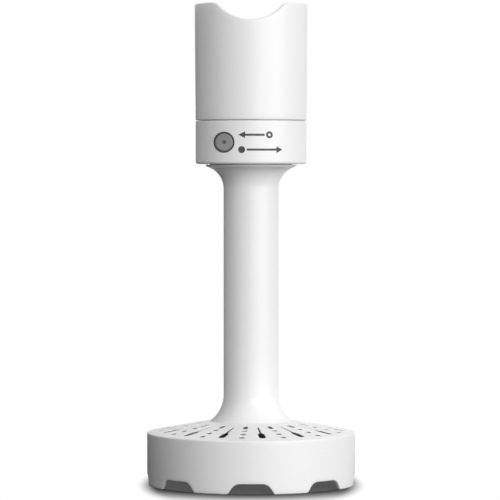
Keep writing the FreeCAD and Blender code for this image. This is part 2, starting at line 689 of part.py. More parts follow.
def masher_foot():
    """Notched rim, perforated cone plate, and a centre boss for the lower bush and the seal."""
    body = turned("masher_foot", (
        ("foot_radius", "0"),
        ("foot_radius", "edge_start"),
        ("cone_outer", "cone_outer_height", "rim_edge_radius", 1),
        ("flare_base", "cone_top"),
        ("flare_base", "land_top"),
        ("pilot_radius", "land_top"),
        ("pilot_radius", "pilot_top"),
        ("boss_radius", "pilot_top"),
        ("boss_radius", "boss_top"),
        ("bush_radius", "boss_top"),
        ("bush_radius", "seal_seat"),
        ("seal_radius", "seal_seat"),
        ("seal_radius", "land_bottom"),
        ("step_radius", "land_bottom"),
        ("step_radius", "step_under"),
        ("rim_inner", "rim_under"),
        ("rim_inner", "0"),
    ))
    notch = sketch_on(body, "XZ_Plane", "rim_notch")
    outline(notch, (
        ("-notch_half", "0"),
        ("notch_half", "0"),
        ("notch_side_x", "notch_side_z"),
        ("notch_roof_x", "notch_height", "notch_corner_radius", 1),
        ("-notch_roof_x", "notch_height"),
        ("-notch_side_x", "notch_side_z", "notch_corner_radius", 1),
    ))
    repeat(body, [cut(body, notch)], NOTCH_COUNT)
    long_slot = sketch_on(body, "XY_Plane", "long_slot", turn="slot_turn")
    outline(long_slot, (
        ("slot_tip", "-slot_tip_half"),
        ("slot_neck", "-slot_neck_half"),
        ("slot_shoulder", "-slot_half"),
        ("slot_round", "-slot_half"),
        ("slot_end", "0", "slot_half", 1),
        ("slot_round", "slot_half", "slot_half", 1),
        ("slot_shoulder", "slot_half"),
        ("slot_neck", "slot_neck_half"),
        ("slot_tip", "slot_tip_half"),
    ))
    hole_row = sketch_on(body, "XY_Plane", "hole_row", turn="hole_turn")
    for index in range(HOLES_PER_SPOKE):
        circle(hole_row, "hole_radius", f"hole_{index + 1}")
    outline(hole_row, (
        ("short_start", "-short_half", "short_half", 1),
        ("short_end", "-short_half"),
        ("short_outer_tip", "0", "short_half", 1),
        ("short_end", "short_half", "short_half", 1),
        ("short_start", "short_half"),
        ("short_inner_tip", "0", "short_half", 1),
    ))
    spokes = [cut(body, long_slot, reverse=True), cut(body, hole_row, reverse=True)]
    repeat(body, spokes, SPOKE_COUNT)
    return body


def masher_stem():
    """Tube that flares out to the foot and to the collar, with the lugged neck on top."""
    body = turned("masher_stem", (
        ("tube_bore", "land_top"),
        ("base_disc", "land_top"),
        ("base_disc", "cone_top"),
        ("tube_radius", "lower_flare_top", "lower_flare_radius", -1),
        ("tube_radius", "upper_flare_start"),
        ("flange_radius", "flange_under", "upper_flare_radius", -1),
        ("flange_radius", "stem_height"),
        ("neck_radius", "stem_height"),
        ("neck_radius", "neck_top"),
        ("neck_bore", "neck_top"),
        ("neck_bore", "plug_seat"),
        ("tube_bore", "plug_seat"),
    ))
    lug = sketch_on(body, "XY_Plane", "neck_lug", lift="lug_bottom")
    sector(lug, "lug_root", "lug_radius", "-lug_half", "lug_half")
    repeat(body, [raise_pad(body, lug, "lug_height")], LUG_COUNT)
    return body


def stem_top_plug():
    """Plug that closes the neck round the upper bush."""
    return turned("stem_top_plug", (
        ("bush_radius", "plug_seat"),
        ("plug_radius", "plug_seat"),
        ("plug_radius", "plug_top"),
        ("plug_boss_radius", "plug_top"),
        ("plug_boss_radius", "plug_boss_top"),
        ("bush_radius", "plug_boss_top"),
    ))


def flanged_bush(label, bore, radius, flange, tail, shoulder, crown):
    """Plain bearing with a flange: tail is the far end, shoulder and crown are the flange's faces."""
    return turned(label, (
        (bore, tail),
        (radius, tail),
        (radius, shoulder),
        (flange, shoulder),
        (flange, crown),
        (bore, crown),
    ))


def shaft_seal():
    """Rubber ring under the lower bush, with a V groove behind its lip."""
    return turned("shaft_seal", (
        ("bush_bore", "land_bottom"),
        ("seal_lip_radius", "land_bottom"),
        ("seal_groove_radius", "seal_groove_top"),
        ("seal_outer_lip", "land_bottom"),
        ("seal_radius", "land_bottom"),
        ("seal_radius", "seal_seat"),
        ("bush_bore", "seal_seat"),
    ))


def drive_shaft():
    """Steel shaft with a hexagon at each end, a clip groove and a tapped lower end."""
    body = turned("drive_shaft", (
        ("0", "tapped_top"),
        ("tapped_radius", "tapped_top"),
        ("tapped_radius", "shaft_bottom"),
        ("shaft_radius", "shaft_bottom"),
        ("shaft_radius", "clip_bottom"),
        ("clip_bore", "clip_bottom"),
        ("clip_bore", "clip_top"),
        ("shaft_radius", "clip_top"),
        ("shaft_radius", "shaft_top"),
        ("0", "shaft_top"),
    ))
    for name, top, length in (
        ("upper_hex", "shaft_top", "upper_hex_length"),
        ("lower_hex", "lower_hex_top", "lower_hex_length"),
    ):
        flats = sketch_on(body, "XY_Plane", name, lift=top)
        circle(flats, "shaft_margin")
        hexagon(flats, "hex_corner", "hex_corner_x", "hex_flat")
        cut(body, flats, length)
    return body


def shaft_clip():
    """Open retaining ring in the shaft's groove, over the lower bush."""
    body = turned("shaft_clip", (
        ("clip_bore", "clip_bottom"),
        ("clip_radius", "clip_bottom"),
        ("clip_radius", "clip_top"),
        ("clip_bore", "clip_top"),
    ))
    gap = sketch_on(body, "XY_Plane", "clip_gap", lift="clip_top")
    outline(gap, (("0", "0"), ("clip_reach", "-clip_half"), ("clip_reach", "clip_half")), polar=True)
    cut(body, gap)
    return body


def drive_hub():
    """Moulded hub on the shaft's lower hexagon, with two lugs for the paddle."""
    body = turned("drive_hub", (
        ("hub_recess_radius", "hub_bottom"),
        ("hub_radius", "hub_bottom"),
        ("hub_radius", "hub_top"),
        ("0", "hub_top"),
        ("0", "hub_recess_top"),
        ("hub_recess_radius", "hub_recess_top"),
    ))
    screw_hole = sketch_on(body, "XY_Plane", "hub_screw_way", lift="hub_top")
    circle(screw_hole, "hub_screw_hole")
    cut(body, screw_hole)
    socket = sketch_on(body, "XY_Plane", "hub_socket", lift="hub_top")
    hexagon(socket, "hex_socket_corner", "hex_socket_corner_x", "hex_socket_flat")
    cut(body, socket, "lower_socket_depth")
    journal = sketch_on(body, "XY_Plane", "hub_journal", lift="hub_top")
    circle(journal, "bush_bore")
    cut(body, journal, "hub_journal_depth")
    lug = sketch_on(body, "XY_Plane", "hub_lug", lift="hub_lug_bottom")
    sector(lug, "hub_lug_root", "hub_lug_radius", "-hub_lug_half", "hub_lug_half")
    repeat(body, [raise_pad(body, lug, "hub_lug_height")], HUB_LUG_COUNT)
    return body


def cross_recess(body, top, reverse):
    """Cross-shaped driver recess in a screw's head."""
    for name, along, across in (
        ("recess_along", "recess_reach", "recess_half"),
        ("recess_across", "recess_half", "recess_reach"),
    ):
        bar = sketch_on(body, "XY_Plane", f"{body.Name}_{name}", lift=top)
        outline(bar, (
            (f"-{along}", f"-{across}"),
            (along, f"-{across}"),
            (along, across),
            (f"-{along}", across),
        ))
        cut(body, bar, "recess_depth", reverse=reverse)


def hub_screw():
    """Screw from below that holds the hub on the shaft."""
    body = turned("hub_screw", (
        ("0", "hub_screw_bottom"),
        ("hub_screw_head", "hub_screw_bottom"),
        ("hub_screw_head", "hub_recess_top"),
        ("tapped_radius", "hub_recess_top"),
        ("tapped_radius", "tapped_top"),
        ("0", "tapped_top"),
    ))
    cross_recess(body, "hub_screw_bottom", True)
    return body


def masher_paddle():
    """Cup that twists onto the drive hub, with leaning blades trimmed to the plate above."""
    body = turned("masher_paddle", (
        ("0", "cup_bottom"),
        ("cup_outer", "cup_bottom"),
        ("cup_outer", "cup_top"),
        ("cup_inner", "cup_top"),
        ("cup_inner", "cup_floor_top"),
        ("0", "cup_floor_top"),
    ))
    blade = sketch_on(body, "XZ_Plane", "blade_side")
    blade.AttachmentOffset = Placement(Vector(), Rotation(Vector(1, 0, 0), size("blade_lean")))
    blade.setExpression("AttachmentOffset.Rotation.Angle", ref("blade_lean"))
    blade.setExpression("AttachmentOffset.Base.y", ref("blade_pivot"))
    outline(blade, (
        ("blade_root", "blade_low"),
        ("blade_tip", "blade_low"),
        ("blade_tip", "blade_outer"),
        ("trim_step", "blade_inner"),
        ("trim_step", "blade_land"),
        ("blade_root", "blade_land"),
    ))
    repeat(body, [raise_pad(body, blade, "blade_thickness", both=True)], BLADE_COUNT)
    entry = sketch_on(body, "XY_Plane", "paddle_entry", lift="cup_top")
    sector(entry, "paddle_slot_root", "paddle_slot_radius", "paddle_entry_from", "paddle_entry_to")
    repeat(body, [cut(body, entry, "paddle_entry_depth")], HUB_LUG_COUNT)
    track = sketch_on(body, "XY_Plane", "paddle_track", lift="paddle_slot_top")
    sector(track, "paddle_slot_root", "paddle_slot_radius", "paddle_entry_from", "paddle_track_to")
    repeat(body, [cut(body, track, "paddle_track_depth")], HUB_LUG_COUNT)
    return body


def screw_holes(body, name, top, radius, length=None):
    """Even ring of holes for the collar's screws."""
    hole = sketch_on(body, "XY_Plane", name, lift=top)
    circle(hole, radius, "screw_hole_x", "screw_hole_y")
    repeat(body, [cut(body, hole, length)], SCREW_COUNT)


def badge_slug(name, radius, face):
    """Round plug along Y that follows the band's curve, from the badge's floor out to a named face."""
    plug = doc.addObject("Part::Cylinder", name + "_plug")
    plug.setExpression("Radius", ref(radius))
    plug.setExpression("Height", ref("badge_reach"))
    plug.Placement = Placement(Vector(), Rotation(Vector(1, 0, 0), 90))
    plug.setExpression("Placement.Base.x", ref("-badge_offset"))
    plug.setExpression("Placement.Base.z", ref("badge_height"))
    bounds = []
    for part, limit in (("_skin", face), ("_core", "badge_floor")):
        bound = doc.addObject("Part::Cylinder", name + part)
        bound.setExpression("Radius", ref(limit))
        bound.setExpression("Height", ref("band_height"))
        bound.setExpression("Placement.Base.z", ref("band_bottom"))
        bounds.append(bound)
    shell = doc.addObject("Part::Cut", name + "_shell")
    shell.Base, shell.Tool = bounds
    slug = doc.addObject("Part::Common", name)
    slug.Base = plug
    slug.Tool = shell
    slug.Label = name
    doc.recompute()
    return slug


def gearbox_base():
    """Band of the collar: bayonet socket below, gear chamber above, and a recess for the badge."""
    body = turned("gearbox_base_blank", (
        ("socket_radius", "band_bottom"),
        ("band_edge_r", "band_bottom"),
        ("band_radius", "band_edge_z", "band_edge_radius", 1),
        ("band_radius", "band_seam_z"),
        ("seam_edge_r", "band_top", "seam_edge_radius", 1),
        ("base_ring", "band_top"),
        ("base_ring", "base_ring_top"),
        ("chamber_radius", "base_ring_top"),
        ("chamber_radius", "floor_top"),
        ("output_bush_radius", "floor_top"),
        ("output_bush_radius", "floor_bottom"),
        ("socket_radius", "floor_bottom"),
    ))
    entry = sketch_on(body, "XY_Plane", "lug_entry", lift="track_top")
    sector(entry, "track_root", "track_radius", "entry_from", "entry_to")
    repeat(body, [cut(body, entry, "entry_depth")], LUG_COUNT)
    track = sketch_on(body, "XY_Plane", "lug_track", lift="track_top")
    sector(track, "track_root", "track_radius", "entry_from", "track_to")
    repeat(body, [cut(body, track, "track_depth")], LUG_COUNT)
    key = sketch_on(body, "XY_Plane", "key_groove", lift="base_ring_top")
    outline(key, (
        ("key_root", "-key_groove_half"),
        ("key_groove_radius", "-key_groove_half"),
        ("key_groove_radius", "key_groove_half"),
        ("key_root", "key_groove_half"),
    ))
    repeat(body, [cut(body, key, "key_groove_depth")], KEY_COUNT)
    screw_holes(body, "base_screw_hole", "base_ring_top", "screw_radius", "screw_bite")
    base = doc.addObject("Part::Cut", "gearbox_base")
    base.Base = body
    base.Tool = badge_slug("badge_recess", "badge_recess_radius", "badge_clear")
    base.Label = "gearbox_base"
    doc.recompute()
    return base


def cover_gasket():
    """Flat rubber ring between the base and the cover."""
    body = turned("cover_gasket", (
        ("chamber_radius", "base_ring_top"),
        ("base_ring", "base_ring_top"),
        ("base_ring", "cover_bottom"),
        ("chamber_radius", "cover_bottom"),
    ))
    screw_holes(body, "gasket_screw_hole", "cover_bottom", "screw_hole")
    return body


def gearbox_cover():
    """Lid of the gear chamber, with a boss for the input bush."""
    body = turned("gearbox_cover", (
        ("input_bush_radius", "cover_bottom"),
        ("base_ring", "cover_bottom"),
        ("base_ring", "cover_top"),
        ("cover_boss_radius", "cover_top"),
        ("cover_boss_radius", "cover_boss_top"),
        ("input_bush_radius", "cover_boss_top"),
    ))
    screw_holes(body, "cover_screw_hole", "cover_top", "screw_hole")
    return body


def collar_sleeve():
    """Outer sleeve with a scalloped rim, a screwed inner flange and the bore for the motor's nose."""
    body = turned("collar_sleeve", (
        ("nose_bore", "sleeve_bottom"),
        ("seam_edge_r", "sleeve_bottom"),
        ("band_radius", "sleeve_seam_z", "seam_edge_radius", 1),
        ("sleeve_top_radius", "rim_round_z"),
        ("rim_outer_r", "sleeve_top", "rim_round", 1),
        ("rim_inner_r", "sleeve_top"),
        ("lead_in_radius", "rim_round_z", "rim_round", 1),
        ("lead_in_radius", "lead_in_top"),
        ("nose_bore", "nose_bore_top"),
        ("nose_bore", "nose_ledge"),
        ("well_radius", "nose_ledge"),
        ("well_radius", "flange_top"),
        ("flange_inner", "flange_top"),
        ("flange_inner", "cover_top"),
        ("nose_bore", "cover_top"),
    ))
    scallop = sketch_on(body, "XZ_Plane", "rim_scallop")
    outline(scallop, (
        ("-lobe_x", "sleeve_top"),
        ("-lobe_meet_x", "lobe_meet_z", "lobe_corner_radius", -1),
        ("lobe_meet_x", "lobe_meet_z", "scallop_radius", 1),
        ("lobe_x", "sleeve_top", "lobe_corner_radius", -1),
        ("lobe_x", "scallop_clear"),
        ("-lobe_x", "scallop_clear"),
    ))
    cut(body, scallop, both=True)
    screw_holes(body, "sleeve_screw_hole", "flange_top", "screw_hole")
    return body


def cover_screws():
    """Three screws through the sleeve's flange, the cover and the gasket into the base."""
    body = turned("cover_screw_blank", (
        ("0", "screw_tip"),
        ("screw_radius", "screw_tip"),
        ("screw_radius", "flange_top"),
        ("screw_head", "flange_top"),
        ("screw_head", "screw_head_top"),
        ("0", "screw_head_top"),
    ))
    cross_recess(body, "screw_head_top", False)
    place = Vector(size("screw_hole_x"), size("screw_hole_y"), 0)
    copies = []
    for angle in even_angles(SCREW_COUNT):
        turn = about_z(angle)
        copy = body.Shape.copy()
        copy.Placement = turn.multiply(Placement(place, Rotation()))
        copies.append(copy)
    return solid("cover_screws", Part.makeCompound(copies))


def involute(radius, base):
    """Involute of the pressure angle at a radius, or zero inside the base circle."""
    angle = math.acos(min(base / radius, 1.0))
    return math.tan(angle) - angle


def gear_face(teeth, root, tip, thinning):
    """Face of a spur gear: involute flanks as arcs, with one tooth on the X axis."""
    pitch = size("gear_module") * teeth / 2
    pressure = math.radians(size("pressure_angle"))
    base = pitch * math.cos(pressure)
    half = math.pi / (2 * teeth) - thinning / (2 * pitch) + involute(pitch, base)
    start = max(root, base)
    radii = (start, (start + tip) / 2, tip)

    def point(radius, angle):
        return Vector(radius * math.cos(angle), radius * math.sin(angle), 0)

    edges = []
    for tooth in range(teeth):
        middle = 2 * math.pi * tooth / teeth
        spread = [half - involute(radius, base) for radius in radii]
        rising = [point(radius, middle - angle) for radius, angle in zip(radii, spread)]
        falling = [point(radius, middle + angle) for radius, angle in zip(radii, spread)]
        root_from = point(root, middle + spread[0])
        root_middle = point(root, middle + math.pi / teeth)
        root_to = point(root, middle + 2 * math.pi / teeth - spread[0])
        if root < base:
            edges.append(Part.LineSegment(point(root, middle - spread[0]), rising[0]).toShape())
        edges.append(Part.Arc(*rising).toShape())
        edges.append(Part.Arc(rising[2], point(tip, middle), falling[2]).toShape())
        edges.append(Part.Arc(*reversed(falling)).toShape())
        if root < base:
            edges.append(Part.LineSegment(falling[0], root_from).toShape())
        edges.append(Part.Arc(root_from, root_middle, root_to).toShape())
    return Part.Face(Part.Wire(edges))


def spur_gear(teeth, bottom, height):
    """Solid spur gear with outside teeth."""
    pitch = size("gear_module") * teeth / 2
    tip = pitch + size("gear_module") * size("addendum")
    root = pitch - size("gear_module") * size("dedendum")
    face = gear_face(teeth, root, tip, size("tooth_thinning"))
    face.translate(Vector(0, 0, bottom))
    return face.extrude(Vector(0, 0, height))


def drum(radius, bottom, top, place=Vector()):
    """Upright cylinder between two heights."""
    return Part.makeCylinder(radius, top - bottom, place + Vector(0, 0, bottom))


def ring_gear():
    """Fixed ring with inside teeth for both stages, keyed into the base."""
    bottom = size("floor_top")
    top = size("first_top")
    tip = size("pitch_ring") - size("gear_module") * size("addendum")
    space = gear_face(RING_TEETH, tip, size("ring_root"), -size("tooth_thinning"))
    space.translate(Vector(0, 0, bottom))
    space.rotate(Vector(), Vector(0, 0, 1), 180.0 / RING_TEETH)
    shape = drum(size("ring_radius"), bottom, top)
    half = size("key_half")
    root = size("key_root")
    for angle in even_angles(KEY_COUNT):
        key = Part.makeBox(size("key_radius") - root, 2 * half, top - bottom, Vector(root, -half, bottom))
        key.rotate(Vector(), Vector(0, 0, 1), angle)
        shape = shape.fuse(key)
    shape = shape.cut(space.extrude(Vector(0, 0, top - bottom)))
    return solid("ring_gear", shape.removeSplitter())


def planet_gear(label, angle, bottom):
    """Planet on its pin, turned half a tooth so that it meets the sun and the ring."""
    gear = spur_gear(PLANET_TEETH, 0, size("gear_face"))
    gear = gear.cut(drum(size("planet_bore"), 0, size("gear_face")))
    turn = Rotation(Vector(0, 0, 1), angle)
    place = turn.multVec(Vector(size("pin_circle"), 0, size(bottom)))
    half_tooth = 180.0 / PLANET_TEETH
    return solid(label, gear, Placement(place, Rotation(Vector(0, 0, 1), angle + half_tooth)))


def planet_pins(label, bottom, length):
    """Three steel pins pressed into a carrier."""
    pins = []
    for index, angle in enumerate(even_angles(PLANET_COUNT)):
        pin = doc.addObject("Part::Cylinder", f"{label}_{index + 1}")
        pin.setExpression("Radius", ref("pin_radius"))
        pin.setExpression("Height", ref(length))
        pin.setExpression("Placement.Base.x", f"{ref('pin_circle')} * cos({angle})")
        pin.setExpression("Placement.Base.y", f"{ref('pin_circle')} * sin({angle})")
        pin.setExpression("Placement.Base.z", ref(bottom))
        pins.append(pin)
    group = doc.addObject("Part::Compound", label)
    group.Links = pins
    group.Label = label
    doc.recompute()
    return group


def output_carrier():
    """Slow carrier: plate for the second planets, and a journal with the shaft's hexagon socket."""
    body = turned("output_carrier", (
        ("0", "journal_bottom"),
        ("journal_radius", "journal_bottom"),
        ("journal_radius", "output_bottom"),
        ("carrier_radius", "output_bottom"),
        ("carrier_radius", "output_top"),
        ("0", "output_top"),
    ))
    socket = sketch_on(body, "XY_Plane", "output_socket", lift="socket_roof")
    hexagon(socket, "hex_socket_corner", "hex_socket_corner_x", "hex_socket_flat")
    cut(body, socket, "output_socket_depth")
    hole = sketch_on(body, "XY_Plane", "output_pin_hole", lift="output_top")
    circle(hole, "pin_radius", "pin_circle")
    repeat(body, [cut(body, hole)], PLANET_COUNT)
    return body


def first_carrier():
    """Fast carrier: plate for the first planets with the second sun under it."""
    bottom = size("first_plate_bottom")
    top = size("first_plate_top")
    sun_bottom = size("second_bottom")
    shape = drum(size("carrier_radius"), bottom, top)
    shape = shape.fuse(spur_gear(SUN_TEETH, sun_bottom, bottom - sun_bottom))
    for angle in even_angles(PLANET_COUNT):
        place = Rotation(Vector(0, 0, 1), angle).multVec(Vector(size("pin_circle"), 0, 0))
        shape = shape.cut(drum(size("pin_radius"), bottom, top, place))
    return solid("first_carrier", shape)


def input_pinion():
    """First sun, pressed on the coupling's stub, with a thrust collar on top."""
    sun = spur_gear(SUN_TEETH, size("first_bottom"), size("thrust_bottom") - size("first_bottom"))
    collar = drum(size("thrust_radius"), size("thrust_bottom"), size("thrust_top"))
    bore = drum(size("stub_radius"), size("first_bottom"), size("thrust_top"))
    return solid("input_pinion", sun.fuse(collar).cut(bore))


def input_coupling():
    """Splined socket that the motor drives, with a spindle in the cover's bush."""
    body = turned("input_coupling", (
        ("0", "first_bottom"),
        ("stub_radius", "first_bottom"),
        ("stub_radius", "thrust_top"),
        ("spindle_radius", "thrust_top"),
        ("spindle_radius", "coupling_shoulder"),
        ("coupling_head", "coupling_shoulder"),
        ("coupling_head", "coupling_top"),
        ("0", "coupling_top"),
    ))
    socket = sketch_on(body, "XY_Plane", "drive_socket", lift="coupling_top")
    circle(socket, "spline_radius")
    cut(body, socket, "spline_depth")
    spline = sketch_on(body, "XY_Plane", "socket_spline", lift="coupling_top")
    outline(spline, (
        ("0", "-spline_half"),
        ("spline_outer", "-spline_half"),
        ("spline_outer", "spline_half"),
        ("0", "spline_half"),
    ))
    repeat(body, [cut(body, spline, "spline_depth")], SPLINE_COUNT)
    return body


def build():
    """Make every piece, in the order in which it would be put together."""
    pieces = [
        masher_foot(),
        masher_stem(),
        stem_top_plug(),
        flanged_bush("lower_shaft_bush", "bush_bore", "bush_radius", "bush_flange_radius",
                     "seal_seat", "boss_top", "lower_bush_top"),
        flanged_bush("upper_shaft_bush", "bush_bore", "bush_radius", "bush_flange_radius",
                     "plug_seat", "plug_boss_top", "upper_bush_top"),
        shaft_seal(),
        drive_shaft(),
        shaft_clip(),
        drive_hub(),
        hub_screw(),
        masher_paddle(),
        gearbox_base(),
        badge_slug("badge_disc", "badge_radius", "badge_face"),
        flanged_bush("output_bush", "output_bush_bore", "output_bush_radius", "output_bush_flange",
                     "floor_top", "floor_bottom", "output_bush_bottom"),
        ring_gear(),
        output_carrier(),
        planet_pins("second_planet_pins", "output_bottom", "second_pin_length"),
        first_carrier(),
        planet_pins("first_planet_pins", "first_plate_bottom", "first_pin_length"),
        input_pinion(),
        input_coupling(),
        cover_gasket(),
        gearbox_cover(),
        turned("input_bush", (
            ("input_bush_bore", "cover_bottom"),
            ("input_bush_radius", "cover_bottom"),
            ("input_bush_radius", "cover_boss_top"),
            ("input_bush_bore", "cover_boss_top"),
        )),
        collar_sleeve(),
        cover_screws(),
    ]
    for stage, bottom in (("first", "first_bottom"), ("second", "second_bottom")):
        for index, angle in enumerate(even_angles(PLANET_COUNT)):
            pieces.append(planet_gear(f"{stage}_planet_{index + 1}", angle, bottom))
    return pieces


def check(pieces):
    """Stop before anything is written if a feature failed or a piece is not a sound solid."""
    for item in doc.Objects:
        if "Invalid" in item.State or "Error" in item.State:
            raise RuntimeError(f"{item.Label} failed: {item.State}")
    for piece in pieces:
        shape = piece.Shape
        if shape.isNull() or not shape.isValid() or not shape.Solids:
            raise RuntimeError(f"{piece.Label} is not a sound solid")


def main():
    """Build, check and write every piece."""
    fill_sheets()
    pieces = build()
    doc.recompute()
    check(pieces)
    os.makedirs("parts", exist_ok=True)
    for piece in pieces:
        piece.Shape.exportStep(f"parts/{piece.Label}.step")
    print(f"{len(pieces)} pieces, height {max(piece.Shape.BoundBox.ZMax for piece in pieces):.2f} mm")


main()
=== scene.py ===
"""Dress the mashing attachment of a hand blender: shells, inlaid disc, printed marks, finishes and stage."""
import json
import math

import bmesh
import bpy
import numpy as np
from bpy.props import FloatProperty, FloatVectorProperty, IntProperty, PointerProperty
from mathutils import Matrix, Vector


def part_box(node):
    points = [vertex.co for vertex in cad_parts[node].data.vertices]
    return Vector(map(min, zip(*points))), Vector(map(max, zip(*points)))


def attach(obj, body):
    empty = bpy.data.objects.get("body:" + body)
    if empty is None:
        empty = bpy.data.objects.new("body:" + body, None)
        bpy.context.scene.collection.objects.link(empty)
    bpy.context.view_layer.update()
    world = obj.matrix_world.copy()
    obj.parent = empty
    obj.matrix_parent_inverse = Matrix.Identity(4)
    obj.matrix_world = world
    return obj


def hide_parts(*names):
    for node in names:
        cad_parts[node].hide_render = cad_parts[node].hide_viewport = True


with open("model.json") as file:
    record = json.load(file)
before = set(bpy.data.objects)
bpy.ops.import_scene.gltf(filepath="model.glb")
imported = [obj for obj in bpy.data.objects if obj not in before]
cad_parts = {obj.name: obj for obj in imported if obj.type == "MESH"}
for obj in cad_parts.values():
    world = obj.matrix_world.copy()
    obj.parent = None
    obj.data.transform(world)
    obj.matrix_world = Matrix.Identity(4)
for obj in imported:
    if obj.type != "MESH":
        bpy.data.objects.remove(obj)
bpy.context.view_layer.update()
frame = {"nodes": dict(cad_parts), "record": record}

bl_info = {
    "name": "Mashing Attachment",
    "version": (1, 0, 0),
    "blender": (4, 5, 0),
    "location": "View3D > Sidebar > Masher",
    "description": "Builds the shells, marks, finishes and stage of a hand blender's mashing attachment",
    "category": "Object",
}

MM = 0.001
FRONT = -math.pi / 2
MERGE_DISTANCE = 1e-6
SHARP_ANGLE = math.radians(34)

# Columns round a piece, and steps along its runs, rounds and edges.
TURNED_COLUMNS = 288
SLEEVE_COLUMNS = 480
DISC_COLUMNS = 96
MARK_COLUMNS = 48
ARC_STEPS = 32
END_STEPS = 12
CELL_SIDE_STEPS = 6
HOLE_EDGE_STEPS = 4
EDGE_STEPS = 5
RIM_STEPS = 6
PLATE_STEPS = 3
ROUND_OVER_STEPS = 8
WALL_STEPS = 12
INNER_WALL_STEPS = 8
TUBE_STEPS = 9
LUG_STEPS = 13
SLEEVE_STEPS = 18
MOUTH_STRIDE = 3
GROOVE_STEPS = 9
FIELD_STEPS = 6
DIMPLE_STEPS = 8
BAR_STEPS = 25
CORNER_STEPS = 7

# Rings of a cell as shares of the way to its border, and the share of that way that the relief may take.
CELL_RINGS = (1.0, 0.6, 0.25, 0.0)
RELIEF_SHARE = 0.75

# Shares of half a notch's pitch where its roof, corner and side end.
NOTCH_KNOTS = (0.0, 0.24, 0.5, 0.7)

# Inset of the disc's groove over the round of the disc's edge.
GROOVE_INSET = 3

# Distance of a bar's end from its ring's centre over the ring's radius.
BAR_CLEARANCE = 1.45

# Samples of an eased edge.
BEVEL_SAMPLES = 6

# Radians of the disc's turned lines for each metre out from its middle.
TURNED_LINES = 9000.0

# Grain of the bronze in millimetres.
PORE_SIZE = 0.3125


def node_radius(node):
    """Largest reach of a node from the stem's axis along X."""
    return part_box(node)[1].x


def node_low(node):
    """Lowest level of a node."""
    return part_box(node)[0].z


def node_high(node):
    """Highest level of a node."""
    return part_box(node)[1].z


def slot_colour(slot):
    """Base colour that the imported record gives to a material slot."""
    return [row["base_color"] for row in frame["record"]["materials"] if row["slot"] == slot][0]


def length(label, description, millimetres):
    """A length property, written in millimetres and kept in metres."""
    return FloatProperty(name=label, description=description, default=millimetres * MM, min=0.0,
                         precision=5, subtype="DISTANCE", unit="LENGTH")


def turn(label, description, degrees):
    """An angle property, written in degrees and kept in radians."""
    return FloatProperty(name=label, description=description, default=math.radians(degrees),
                         subtype="ANGLE", unit="ROTATION")


def number(label, description, default):
    """A count property."""
    return IntProperty(name=label, description=description, default=default, min=1)


def factor(label, description, default):
    """A plain number from nought upwards."""
    return FloatProperty(name=label, description=description, default=default, min=0.0)


def watts(label, description, default):
    """A lamp's power."""
    return FloatProperty(name=label, description=description, default=default, min=0.0,
                         subtype="POWER", unit="POWER")


def colour(label, description, default):
    """A colour property."""
    return FloatVectorProperty(name=label, description=description, default=default, size=3,
                               min=0.0, max=1.0, subtype="COLOR")


class FootSizes(bpy.types.PropertyGroup):
    """Sizes of the perforated foot."""

    rim_height: length("Rim height", "Level of the rim's top corner before it is rounded", 25.0)
    rim_wall: length("Rim wall", "Wall of the skirt", 1.8)
    edge_radius: length("Edge radius", "Round of the rim's top edge", 0.6)
    moulded_edge: length("Moulded edge", "Round of the skirt's lower edges", 0.55)
    plate_angle: turn("Plate angle", "Fall of the plate from the stem to the rim", 10.4)
    plate_thickness: length("Plate thickness", "Thickness of the perforated plate", 1.4)
    notch_count: number("Notches", "Notches round the skirt", 8)
    notch_width: length("Notch width", "Width of a notch at the table", 22.0)
    notch_top: length("Notch top", "Width of a notch at its roof before the corners are rounded", 15.5)
    notch_height: length("Notch height", "Height of a notch", 4.8)
    notch_corner: length("Notch corner", "Round between a notch's roof and its sides", 5.0)
    spoke_count: number("Spokes", "Long slots round the plate", 14)
    spoke_turn: turn("Spoke turn", "Angle of the first long slot from the front", 7.1)
    field_inner: length("Field inner radius", "Where the perforated field starts", 21.85)
    field_outer: length("Field outer radius", "Where the perforated field ends", 46.2)
    slot_tip: length("Slot tip", "Radius of a long slot's inner end", 25.6)
    slot_tip_width: length("Slot tip width", "Width of a long slot at its inner end", 0.6)
    slot_neck: length("Slot neck", "Radius where a long slot starts to widen", 35.4)
    slot_neck_width: length("Slot neck width", "Width of a long slot at its neck", 1.0)
    slot_shoulder: length("Slot shoulder", "Radius where a long slot has its full width", 37.9)
    slot_width: length("Slot width", "Full width of a long slot", 3.2)
    slot_end: length("Slot end", "Radius of a long slot's round outer end", 44.7)
    hole_radius: length("Hole radius", "Radius of the round holes", 1.4)
    hole_outer: length("Outer holes", "Radius of the outer ring of holes", 43.7)
    hole_middle: length("Middle holes", "Radius of the middle ring of holes", 37.85)
    hole_inner: length("Inner holes", "Radius of the inner ring of holes", 32.0)
    short_start: length("Short slot start", "Radius of a short slot's inner end", 24.0)
    short_end: length("Short slot end", "Radius of a short slot's outer end", 28.8)
    short_width: length("Short slot width", "Width of a short slot", 2.2)
    hole_edge: length("Hole edge", "Round of the holes' edges", 0.1)
    hole_lip: length("Hole lip", "Thickness of the lip at a hole's edge", 0.16)
    hole_relief: length("Hole relief", "How much wider a hole is at the underside", 1.6)
    seat_radius: length("Stem seat", "Radius of the recess that takes the stem", 20.0)
    pilot_radius: length("Pilot radius", "Radius of the spigot inside the stem", 10.7)
    pilot_height: length("Pilot height", "Height of the spigot over the stem's seat", 3.8)
    boss_radius: length("Boss radius", "Radius of the bearing boss", 8.05)
    boss_bore: length("Boss bore", "Radius of the bearing's seat", 5.05)
    step_radius: length("Land radius", "Radius of the thick land under the stem", 21.5)


